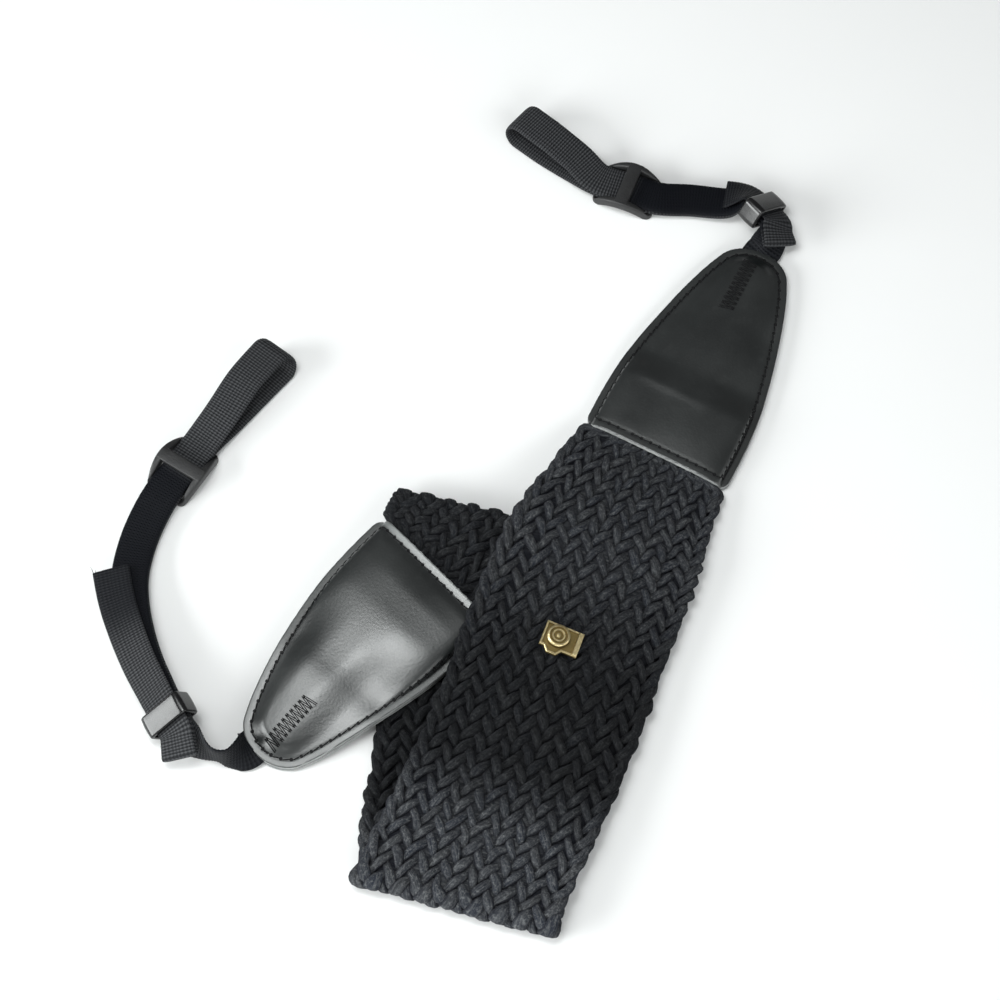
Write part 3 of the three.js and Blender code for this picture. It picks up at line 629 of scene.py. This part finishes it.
def sewnEnd(tab):  # the end sewn in a tab, from inside it to just outside its mouth
    across = tab["heading"] + (-90 if tab["heading"] > 0 else 90)
    rows = []
    for a, width, thick in sewnRows:
        x, y, z = placeOn(tab, a, 0, braid["sewnHeight"])
        skew = tab["skew"] * (1 - smooth(a / tabShape["drop"][0]))
        rows.append((x, y, across - skew, width, z, z, 0, thick))
    return rows


topFold = {"x": -3.8, "y": -9.4, "turn": -13.8, "width": 62, "outward": 90}
bottomFold = {"x": -13.1, "y": -133.2, "turn": -15.3, "width": 63.4, "outward": -90}


def foldRow(fold, n):
    return (fold["x"], fold["y"], fold["turn"], fold["width"], level(n), level(n), 0, braid["thick"])


# x, y, turn, width, left height, right height, bow, thickness
middlePass = [
    *sewnEnd(tabs["left"]),
    (-13.0, -20.0, -32.7, 55.4, 7.3, 7.3, 0, 4.0),
    foldRow(topFold, 1),
]
backPass = [
    foldRow(topFold, 0),
    (-4.5, -40, -8, 63.5, level(0), level(0), 0, 4.2),
    (-6.2, -75, -6, 64, level(0), level(0), 0, 4.2),
    (-10.5, -108, -10, 63.5, level(0), level(0), 0, 4.2),
    foldRow(bottomFold, 0),
]
frontPass = [
    foldRow(bottomFold, 1),
    (-7.9, -121.5, -17.5, 63, 6.75, 6.65, 0, 4.2),
    (-0.4, -105, -17.5, 63.5, 6.9, 6.4, 0.4, 4.2),
    (7.3, -87.7, -15.6, 63.6, 7.8, 5.2, 1.2, 4.2),
    (14.5, -69.2, -13.5, 63.8, 11.4, 4.2, 2.0, 4.2),
    (21.2, -50.2, -13.1, 64.6, 13.8, 4.0, 2.5, 4.2),
    (27.4, -34.7, -14.5, 64.4, 13.5, 4.2, 2.6, 4.2),
    (33.6, -19.2, -19.5, 63, 11.8, 4.2, 3.0, 4.2),
    (42.6, 0.2, -25.2, 56, 6.6, 3.6, 1.4, 4.0),
    *sewnEnd(tabs["right"])[::-1],
]


def sectionOf(values):  # centre, side, and half width, bow and thickness of the band
    side = flat(values[:, 2]) * values[:, 3:4] / 2
    side[:, 2] = (values[:, 5] - values[:, 4]) / 2
    centre = np.stack([values[:, 0], values[:, 1], (values[:, 4] + values[:, 5]) / 2], -1)
    return centre, unit(side), np.stack([values[:, 3] / 2, values[:, 6], values[:, 7]], -1)


def passSections(rows, facing):
    last = len(rows) - 1
    t = np.linspace(0, last, last * 12 + 1)
    centre, side, sizes = sectionOf(between(rows, t))
    after = sectionOf(between(rows, np.minimum(t + 0.2, last)))[0]
    before = sectionOf(between(rows, np.maximum(t - 0.2, 0)))[0]
    normal = unit(np.cross(side, after - before))
    normal *= np.sign(normal[:, 2:3]) * facing
    return np.concatenate([centre, side, normal, sizes], 1)


def foldSections(fold, start, end, facing):
    angle = np.linspace(0, math.pi, 26)[1:-1, None]
    out = flat(fold["turn"] + fold["outward"])
    middle, radius = (level(start) + level(end)) / 2, (level(end) - level(start)) / 2
    centre = np.array([fold["x"], fold["y"], middle]) - radius * np.cos(angle) * up
    centre = centre + abs(radius) * np.sin(angle) * out
    normal = facing * np.cos(angle) * up + np.sin(angle) * out  # this face is outermost at the fold
    side = np.broadcast_to(flat(fold["turn"]), centre.shape)
    sizes = np.broadcast_to([fold["width"] / 2, 0, braid["thick"]], centre.shape)
    return np.concatenate([centre, side, normal, sizes], 1)


toFold = [passSections(middlePass, 1), foldSections(topFold, 1, 0, 1), passSections(backPass, -1)]
bandSections = np.concatenate([*toFold, foldSections(bottomFold, 0, 1, -1), passSections(frontPass, 1)])
bandReach = reachAlong(bandSections[:, :3])
foldReach = bandReach[sum(len(sections) for sections in toFold)]
print("band: %.0f mm along its middle" % bandReach[-1])
cotton = makeCotton(foldReach)


def bandAt(reach):
    values = sampled(reach, bandReach, bandSections)
    return values[:, :3], unit(values[:, 3:6]), unit(values[:, 6:9]), *values[:, 9:].T


def cordRings(number):
    s = braid
    reach = np.arange(0, bandReach[-1], s["ringStep"])
    centre, side, normal, half, bow, thick = bandAt(reach)
    leg = s["cords"] / 2
    phase = (reach / s["pitch"] + number) % s["cords"]
    rightward = phase < leg
    since = np.where(rightward, phase, phase - leg)
    near = np.minimum(since, leg - since)
    near = np.where(near < s["turnRound"], s["turnRound"] / 2 + near ** 2 / (2 * s["turnRound"]), near)
    column = np.where(since < leg / 2, near, leg - near) - (leg - s["columns"]) / 2
    column = np.where(rightward, column, s["columns"] - column)
    draws = np.random.default_rng(100 + number)
    knots = draws.normal(0, 1, (int(bandReach[-1] / s["knotStep"]) + 3, 3 + s["sides"])).clip(-2, 2)
    stray, plump, rise, *lumps = between(knots, reach / s["knotStep"]).T
    width = 2 * half / s["spread"]
    x = (column - s["columns"] / 2) * width + stray * s["stray"]
    share = thick / s["thick"]
    over = np.where(rightward, -1, 1) * np.sin(np.pi * np.clip(column, 0, s["columns"]))
    height = (over * ((s["thick"] - s["cordThick"]) / 2 + s["proud"]) + rise * s["uneven"]) * share
    line = centre + side * x[:, None] + normal * (height + bow * (1 - (x / half) ** 2))[:, None]
    ahead = unit(np.gradient(line, axis=0))
    across = unit(np.cross(normal, ahead))
    raised = np.cross(ahead, across)
    # drawn in where it dives, spread round the folds
    inside = smooth(np.minimum(column, s["columns"] - column) / 0.8)
    full = (1 - s["waist"] * inside * (1 - np.abs(over))) * (1 + s["uneven"] * plump)
    bend = np.linalg.norm(np.gradient(normal, s["ringStep"], axis=0), axis=1)
    folded = np.convolve(smooth(bend / 0.3), np.full(5, 0.2), "same")
    fill = 1 + (s["cordFill"] - 1) * inside + s["foldSpread"] * folded
    wide = fill * width * s["pitch"] / np.hypot(width, s["pitch"]) / 2 * full
    tall = s["cordThick"] / 2 * share * full
    turn = 2 * np.pi * np.arange(s["sides"]) / s["sides"]
    cos, sin = (np.sign(v) * np.abs(v) ** s["boxy"] for v in (np.cos(turn), np.sin(turn)))
    lumpy = 1 + s["lumps"] * np.stack(lumps, -1)
    flatPart = (lumpy * cos * wide[:, None])[..., None] * across[:, None]
    highPart = (lumpy * sin * tall[:, None])[..., None] * raised[:, None]
    rings = line[:, None] + flatPart + highPart
    rings[..., 2] = np.maximum(rings[..., 2], 0)  # flattened where it lies on the table
    return rings, reach


def stripRings(centre, side, normal, x, top):  # across the upper face and back along the lower one
    x = np.concatenate([x, x[:, -2:0:-1]], 1)[..., None]
    y = np.concatenate([top, -top[:, -2:0:-1]], 1)[..., None]
    return centre[:, None] + side[:, None] * x + normal[:, None] * y


def groundRings():  # thin woven ground inside the braid
    reach = np.arange(0, bandReach[-1], braid["groundStep"])
    centre, side, normal, half, bow, thick = bandAt(reach)
    across = np.linspace(1, -1, 15)
    x = (half - braid["inset"])[:, None] * across
    bowed = (bow[:, None] * (1 - (x / half[:, None]) ** 2))[..., None] * normal[:, None]
    top = braid["groundThick"] / 2 * (1 - across ** 8) * (thick / braid["thick"])[:, None]
    rings = stripRings(centre, side, normal, x, top)
    return rings + np.concatenate([bowed, bowed[:, -2:0:-1]], 1), reach


for first, name in enumerate(("braid_cords_odd", "braid_cords_even")):
    build = Build()
    for number in range(first, braid["cords"], 2):
        build.tube(*cordRings(number), number)
    build.piece(name, [cotton], "cotton", ["braid_band"])
build = Build()
build.tube(*groundRings())
ground = build.piece("braid_ground", [cotton], "cotton", ["braid_band"])

# narrow webbing: x, y, z and roll, which lifts the right edge
webRoutes = {
    "left": {
        "fromTab": [(-80.1, -88.2, 5.3, 60), (-83.6, -89.6, 6.2, 84), (-87.2, -88.7, 6.4, 91),
                    (-90.8, -86.7, 6.3, 74), (-94.3, -84.1, 6.3, 50)],
        "keeper": {"x": -100.7, "y": -76.1, "z": 6.35, "roll": 32, "heading": 119.5},
        "toSlider": [(-105.3, -67.6, 5.6, 30), (-110.1, -57.7, 4.7, 25), (-114.0, -46.7, 3.8, 18),
                     (-116.4, -36.2, 3.0, 11), (-117.0, -26.9, 2.3, 6), (-115.4, -16.4, 1.8, 2),
                     (-112.4, -7.4, 2.2, 0)],
        "lowerLeg": [(-88.9, 28.6, 1.3, 0), (-80.8, 38.6, 0.95, 0), (-73.4, 47.4, 0.95, 0)],
        "upperLeg": [(-89.9, 28.4, 7.2, 0), (-83.2, 39.2, 9.2, 0)],
        "loopShift": -3.1,
        "tail": [(-96.6, -88.6, 5.2, 24), (-97.1, -84.8, 5.9, 29)],
        "freeRow": 6, "freeShift": -5.8, "litTail": 80,
    },
    "right": {
        "fromTab": [(89.5, 92.2, 3.3, -16), (91.5, 95.9, 5.0, -30)],
        "keeper": {"x": 87.8, "y": 103.9, "z": 6.45, "roll": -34, "heading": 130},
        "toSlider": [(76.8, 109.0, 3.4, -8), (64.8, 111.0, 2.3, -2)],
        "lowerLeg": [(25.8, 125.2, 1.3, 0), (16.6, 132.0, 0.95, 0), (8.6, 138.6, 0.95, 0)],
        "upperLeg": [(26.2, 125.6, 7.2, 0), (17.6, 132.6, 9.2, 0)],
        "loopShift": 1.5,
        "tail": [(92.8, 92.4, 4.8, -20), (91.8, 95.9, 5.7, -29)],
        "freeRow": 2, "freeShift": 2, "litTail": 34,
    },
}


def webFrames(rows, t):  # centre, side, normal and way ahead along rows
    rows, t = np.asarray(rows, float), np.asarray(t)
    last = len(rows) - 1
    values = between(rows, t)
    after = between(rows, np.minimum(t + 0.05, last))[:, :3]
    before = between(rows, np.maximum(t - 0.05, 0))[:, :3]
    ahead = unit(after - before)
    side = unit(np.cross(ahead, up))
    roll = np.radians(values[:, 3:4])
    side = side * np.cos(roll) - np.cross(ahead, side) * np.sin(roll)
    normal = unit(np.cross(side, ahead))
    return np.stack([values[:, :3], side, normal, ahead], 1), values[:, 3]


def layerRows(frames, roll, layers, sideways=0.0):
    moved = frames[:, 0] + frames[:, 2] * (layers * webbing["rise"])
    moved = moved + frames[:, 1] * np.reshape(sideways, (-1, 1))
    return np.concatenate([moved, np.reshape(roll, (-1, 1))], 1)


def halfTurn(start, end, outward, steps):
    across = end[0] - start[0]
    aside = across @ start[1]
    rise = across - aside * start[1]
    radius = np.linalg.norm(rise) / 2
    rise = unit(rise)
    share = np.linspace(0, 1, steps + 1)[1:-1, None]
    angle = np.pi * share
    centre = start[0] + rise * radius * (1 - np.cos(angle)) + outward * radius * np.sin(angle)
    centre = centre + start[1] * aside * smooth(share)
    normal = (rise * np.cos(angle) - outward * np.sin(angle)) * np.sign(start[2] @ rise)
    side = unit(start[1] * (1 - share) + end[1] * share)
    return np.stack([centre, side, normal, np.zeros_like(centre)], 1)


def fine(rows):  # eight frames to a row
    return webFrames(rows, np.linspace(0, len(rows) - 1, (len(rows) - 1) * 8 + 1))[0]


def backward(frames):
    frames = frames[::-1].copy()
    frames[:, 2] *= -1
    return frames


def straightRows(spot, z, roll, reach):
    middle, ahead = np.array([spot["x"], spot["y"]]), flat(spot["heading"])[:2]
    return [(*(middle + d * ahead), z, roll) for d in (-reach, 0, reach)]


def webbingFrames(tab, route, slider):
    w, held = webbing, route["keeper"]
    sewnAt = [share * tab["length"] for share in w["sewnAt"]]
    sewn = [(*placeOn(tab, a, tab["webSide"], w["sewnHeight"]), 0) for a in sewnAt]
    rows = sewn + route["fromTab"] + straightRows(held, held["z"], held["roll"], 5.6)
    rows += route["toSlider"] + straightRows(slider, w["sliderHeight"], 0, 10.6) + route["lowerLeg"]
    keeperRow = len(sewn) + len(route["fromTab"]) + 1
    sliderRow = keeperRow + 2 + len(route["toSlider"]) + 1
    main = fine(rows)

    def stacked(layers, toRow, sideways):
        hanging = route["tail"] + [rows[keeperRow]]
        tail = layerRows(*webFrames(hanging, range(len(route["tail"]))), layers)
        t = np.arange(keeperRow - 1, toRow + 1)
        share = np.maximum((t - keeperRow - 1) / (toRow - keeperRow - 1), 0) ** 2
        return np.concatenate([tail, layerRows(*webFrames(rows, t), layers, sideways * share)])

    loopTop = layerRows(main[-1:], [0], w["loopHeight"] / w["rise"], route["loopShift"])
    tail = fine(np.concatenate([stacked(1, sliderRow + 1, 0), route["upperLeg"], loopTop]))
    ending = fine(stacked(2, keeperRow + route["freeRow"], route["freeShift"]))
    loop = halfTurn(main[-1], tail[-1], main[-1][3], 24)
    fold = halfTurn(tail[0], ending[0], -tail[0][3], 12)
    fold[:, 2] *= -1
    return np.concatenate([main, loop, backward(tail), fold, ending])


def webRings(frames):
    w = webbing
    reach = reachAlong(frames[:, 0])
    at = np.linspace(0, reach[-1], int(reach[-1] / w["ringStep"]))
    centre, side, normal = (sampled(at, reach, frames[:, k]) for k in range(3))
    rib = np.sin(2 * np.pi * at / w["rib"])
    halfShares = np.array([1, 0.975, 0.9, 0.7, 0.45, 0.2])
    across = np.concatenate([halfShares, [0], -halfShares[::-1]]) * w["width"] / 2
    plump = (1 - np.abs(across / (w["width"] / 2)) ** 8) ** 0.5 * (w["thick"] - w["ribDepth"]) / 2
    top = plump + w["ribDepth"] / 2 * rib[:, None] * (plump > 0.05)
    return stripRings(centre, unit(side), unit(normal), np.broadcast_to(across, top.shape), top), at


def addFray(build, rings, lengths):  # loose yarns at the cut end's corner
    corner = (rings.shape[1] + 2) // 2 - 1
    ahead = unit(rings[-1].mean(0) - rings[-4].mean(0))
    out = unit(rings[-1, corner] - rings[-1, 0])
    t = np.linspace(0, 1, 8)[:, None]
    for k, length in enumerate(lengths):
        start = rings[-1, corner] - out * (0.3 + 0.7 * k) - ahead * 0.5
        line = start + t * length * ahead + t ** 2 * (0.4 * length * (0.5 - k) * out + 0.5 * up)
        build.tube(threadRings(line, 0.13 * (1.1 - t[:, 0])), t[:, 0] * length, k)


for side, route in webRoutes.items():
    spot = sliderSpots[side]
    rings, at = webRings(webbingFrames(tabs[side], route, spot))
    gap = np.linalg.norm(rings.mean(1)[:, :2] - [spot["x"], spot["y"]], axis=1)
    half = len(at) // 2
    nylon = makeNylon("nylon_" + side, at[half + np.argmin(gap[half:])], at[-1], route["litTail"])
    build = Build()
    build.tube(rings, at)
    addFray(build, rings, webbing["fray"][side])
    strip = build.piece(side + "_webbing_strip", [nylon], "nylon", [side + "_webbing"])
    print("%s webbing: %.0f mm" % (side, at[-1]))


def roundRect(width, height, radius, parts):  # anticlockwise from the right side
    points = []
    for k, (x, y) in enumerate([(1, 1), (-1, 1), (-1, -1), (1, -1)]):
        turn = np.radians(np.linspace(90 * k, 90 * k + 90, parts + 1))
        right = x * (width / 2 - radius) + radius * np.cos(turn)
        above = y * (height / 2 - radius) + radius * np.sin(turn)
        points.append(np.stack([right, above], -1))
    return np.concatenate(points)


def ringsOf(x, y, z):
    return np.stack(np.broadcast_arrays(x, y, z), -1)


def placed(rings, origin, x, y, z):
    return origin + rings[..., :1] * x + rings[..., 1:2] * y + rings[..., 2:] * z


# sleeve that holds the tail
sleeve = {"width": 15.4, "wall": 1.3, "opening": 5.2, "length": 7.5, "corner": 1.4, "edge": 0.45,
          "crown": 0.25, "step": 0.5}


def sleeveRings():
    s = sleeve
    middle = roundRect(s["width"] - s["wall"], s["opening"] + s["wall"], s["corner"] - s["wall"] / 2, 8)
    line = spacedLoop(middle, s["step"])
    ahead = unit(np.roll(line, -1, 0) - np.roll(line, 1, 0))
    out = np.stack([ahead[:, 1], -ahead[:, 0]], -1)
    wall = spacedLoop(roundRect(s["wall"], s["length"], s["edge"], 3), 0.25)
    wall[:, 0] += np.where(wall[:, 0] > 0, s["crown"] * (1 - (2 * wall[:, 1] / s["length"]) ** 2), 0)
    across, above = (line[:, k, None] + out[:, k, None] * wall[:, 0] for k in (0, 1))
    return ringsOf(across, wall[:, 1], above)


# slider with bowed rails, two end bars and a middle bar over the webbing
slider = {"length": 21.2, "width": 17.6, "endWidth": 14.8, "slot": 12.6, "endBar": 2.4, "barThick": 1.9,
          "centreBar": 4.6, "crown": 7.3, "railUnder": 3.6, "corner": 2.0, "edge": 0.5, "step": 0.45}


def barrel():  # outline from above, narrow at the ends with bulging sides
    s = slider
    loop = spacedLoop(roundRect(s["endWidth"], s["length"], s["corner"], 6), s["step"])
    share = np.clip(1 - (loop[:, 1] / (s["length"] / 2 - s["corner"])) ** 2, 0, 1)
    loop[:, 0] += np.sign(loop[:, 0]) * share * (s["width"] - s["endWidth"]) / 2
    return loop


def addSlider(build, spot):
    s = slider
    end, foot = s["length"] / 2, s["length"] / 2 - s["endBar"]
    under = s["crown"] - s["barThick"]
    origin = np.array([spot["x"], spot["y"], 0])
    axes = (flat(spot["heading"] - 90), flat(spot["heading"]), up)
    loop = barrel()
    inner = np.clip(loop, [-s["slot"] / 2, -foot], [s["slot"] / 2, foot])
    reach = np.abs(loop[:, 1])
    high = s["barThick"] + under * (1 - np.clip(reach / end, 0, 1) ** 2)
    low = s["railUnder"] * np.maximum(1 - (reach / foot) ** 2, 0)
    bar = roundRect(1, 1, 0.24, 3)
    across, along = (loop[:, k, None] + (inner - loop)[:, k, None] * (0.5 - bar[:, 0]) for k in (0, 1))
    above = (high + low)[:, None] / 2 + (high - low)[:, None] * bar[:, 1]
    rings = placed(ringsOf(across, along, above), origin, *axes)
    build.tube(rings, np.arange(len(loop)) * s["step"], closed=True)
    bar = roundRect(s["centreBar"], s["barThick"], s["edge"], 3)
    x = np.linspace(-s["width"] / 2 + 0.5, s["width"] / 2 - 0.5, 9)
    rings = ringsOf(x[:, None], bar[:, 0], s["crown"] - s["barThick"] / 2 + bar[:, 1])
    build.tube(placed(rings, origin, *axes), x)


for side, route in webRoutes.items():
    held = route["keeper"]
    ahead = flat(held["heading"])
    aside = np.cross(ahead, up)
    roll = math.radians(held["roll"])
    across = aside * math.cos(roll) - np.cross(ahead, aside) * math.sin(roll)
    normal = np.cross(across, ahead)
    origin = np.array([held["x"], held["y"], held["z"]]) + normal * webbing["rise"]
    build = Build()
    rings = placed(sleeveRings(), origin, across, ahead, normal)
    build.tube(rings, np.arange(len(rings)) * sleeve["step"], closed=True)
    build.piece(side + "_sleeve", [glossy], "glossy", [side + "_keeper"], sharp=60)
    build = Build()
    addSlider(build, sliderSpots[side])
    build.piece(side + "_slider", [moulded], "moulded", [side + "_tri_glide"], sharp=60)

# cast badge on a riveted post
badge = {
    "row": 4.78, "heading": -20.5, "shift": -1.6, "width": 12.2, "height": 8.2, "thick": 1.5, "rim": 0.6,
    "sunk": 0.45, "gripWidth": 1.7, "gripRise": 0.6, "lens": 3.6, "lensRise": 1.5, "lensX": -1.3,
    "lensY": 0.1, "humpX": -1.6, "humpRise": 1.7,
}


def inset(outline, depth):  # outline moved inwards by the same depth all round
    ahead = unit(np.roll(outline, -1, 0) - outline)
    before = np.roll(ahead, 1, 0)
    n0, n1 = (np.stack([-way[:, 1], way[:, 0]], -1) for way in (before, ahead))
    return outline + (n0 + n1) * depth / (1 + (n0 * n1).sum(-1, keepdims=True))


def castRings(outline, levels):  # levels are depth inside the outline and height
    return np.array([ringsOf(*inset(outline, depth).T, z) for depth, z in levels])


def turnedRings(middle, profile):  # profile is radius and height
    turn = np.radians(np.arange(0, 360, 9))
    cos, sin = np.cos(turn), np.sin(turn)
    return np.array([ringsOf(middle + r * cos, badge["lensY"] + r * sin, z) for r, z in profile])


def addBadge():
    s = badge
    centre, side, sizes = sectionOf(between(frontPass, s["row"]))
    centre, side, bow = centre[0], side[0], sizes[0, 1]
    normal = unit(np.cross(side, flat(s["heading"] + 90)))
    across = flat(s["heading"])
    across = unit(across - normal * (across @ normal))
    origin = centre + normal * bow + side * s["shift"]
    seat = braid["thick"] / 2 + 0.3
    top = seat + s["thick"]
    sunk = top - s["sunk"]
    build = Build()

    def add(rings, zero):  # zero is the height of the dark face
        build.tube(placed(rings, origin, across, np.cross(normal, across), normal), rings[:, 0, 2] - zero)

    w, h, x, rim = s["width"] / 2, s["height"] / 2, s["humpX"], s["rim"]
    crest = -h - s["humpRise"]
    hump = [(x - 2.9, -h), (x - 1.5, crest), (x + 1.5, crest), (x + 2.9, -h)]
    outline = np.array([(-w, h), (-w, -h), *hump, (w, -h), (w, h)])
    levels = [(0.2, seat), (0, seat + 0.2), (0, top - 0.2), (0.18, top), (rim, top), (rim + 0.2, sunk)]
    add(castRings(outline, levels), sunk)
    edge, end, rise = w - s["gripWidth"], h - 0.2, top + s["gripRise"]
    grip = np.array([(edge, end), (edge, -end), (w, -end), (w, end)])
    add(castRings(grip, [(0, seat + 0.5), (0, rise - 0.25), (0.22, rise)]), sunk)
    r, front = s["lens"], top + s["lensRise"]
    floor = front - 0.55
    lens = [
        (r, seat + 0.4), (r, front - 0.3), (0.94 * r, front - 0.06), (0.88 * r, front), (0.8 * r, front),
        (0.74 * r, floor), (0.62 * r, floor), (0.56 * r, front - 0.1), (0.44 * r, front - 0.1),
        (0.38 * r, floor), (0.24 * r, floor), (0.18 * r, front - 0.25), (0.02 * r, front - 0.2),
    ]
    add(turnedRings(s["lensX"], lens), floor)
    post = [(2.3, -seat - 1), (2.6, -seat - 0.8), (2.6, -seat), (1.2, -seat), (1.2, seat + 0.5)]
    add(turnedRings(0, post), sunk)
    build.piece("cast_badge", [brass], "brass", ["brass_stud"], sharp=35)


addBadge()

# floor, light and camera
studio = {"elevation": 65, "distance": 800, "sensor": 36, "focalShare": 2.48, "floor": 3.0, "world": 0.12,
          "tint": (0.97, 1.0, 0.995)}
# in metres and watts; a light without an aim points straight down
lights = {
    "window": {"place": (-0.199, -0.028, 0.62), "size": (0.43, 0.34), "power": 1.9, "turn": -32},
    "glint": {"place": (0.045, 0.02, 0.62), "size": (0.15, 0.15), "power": 0.24, "turn": -32},
    "core": {"place": (-0.105, -0.045, 0.61), "size": (0.13, 0.12), "power": 0.55, "turn": -32},
    "leftPanel": {"place": (-1.5, -0.5, 0.55), "aim": (-0.02, -0.05, 0), "size": (1.2, 0.75), "power": 34},
    "frontFill": {"place": (0.3, -1.7, 0.9), "aim": (0.02, 0, 0), "size": (1.6, 0.8), "power": 16},
    "rightFill": {"place": (1.3, -0.6, 0.7), "aim": (0.02, 0, 0), "size": (0.8, 0.8), "power": 6},
}


def addFloor():
    size = studio["floor"]
    mesh = bpy.data.meshes.new("floor")
    corners = [(-size, -size, 0), (size, -size, 0), (size, size, 0), (-size, size, 0)]
    mesh.from_pydata(corners, [], [(0, 1, 2, 3)])
    material, tree, shader = newFinish("paper", 0.85)
    skin = use(tree, grain, Pebble=300.0, Patch=6.0)
    tone = mixed(tree, skin["Tone"], (0.86, 0.86, 0.86, 1), (0.9, 0.9, 0.9, 1))
    tree.links.new(tone, shader["Base Color"])
    mesh.materials.append(material)
    floor = addObject("floor", mesh)


def addLight(name, place, size, power, aim=None, turn=0):
    light = bpy.data.lights.new(name, "AREA")
    light.shape = "RECTANGLE"
    light.size, light.size_y = size
    light.energy = power
    light.color = studio["tint"]
    lamp = addObject(name, light)
    lamp.location = place
    aim = aim or (*place[:2], 0)
    facing = (Vector(aim) - Vector(place)).to_track_quat("-Z", "Y")
    lamp.rotation_euler = (facing @ Quaternion((0, 0, 1), math.radians(turn))).to_euler()


def addCamera():
    camera = bpy.data.cameras.new("camera")
    camera.sensor_width = studio["sensor"]
    camera.lens = studio["sensor"] * studio["focalShare"]
    camera.clip_start = 0.01
    eye = addObject("camera", camera)
    rise = math.radians(studio["elevation"])
    back = Vector((0, -math.cos(rise), math.sin(rise)))
    eye.location = Vector(shift * mm) + back * studio["distance"] * mm
    eye.rotation_euler = back.to_track_quat("Z", "Y").to_euler()
    bpy.context.scene.camera = eye


addFloor()
for name, light in lights.items():
    addLight(name, **light)
world = bpy.data.worlds.new("studio")
world.use_nodes = True
background = world.node_tree.nodes["Background"].inputs
background["Color"].default_value = (1, 1, 1, 1)
background["Strength"].default_value = studio["world"]
bpy.context.scene.world = world
bpy.context.scene.view_settings.view_transform = "Standard"
addCamera()
print("studio ready")
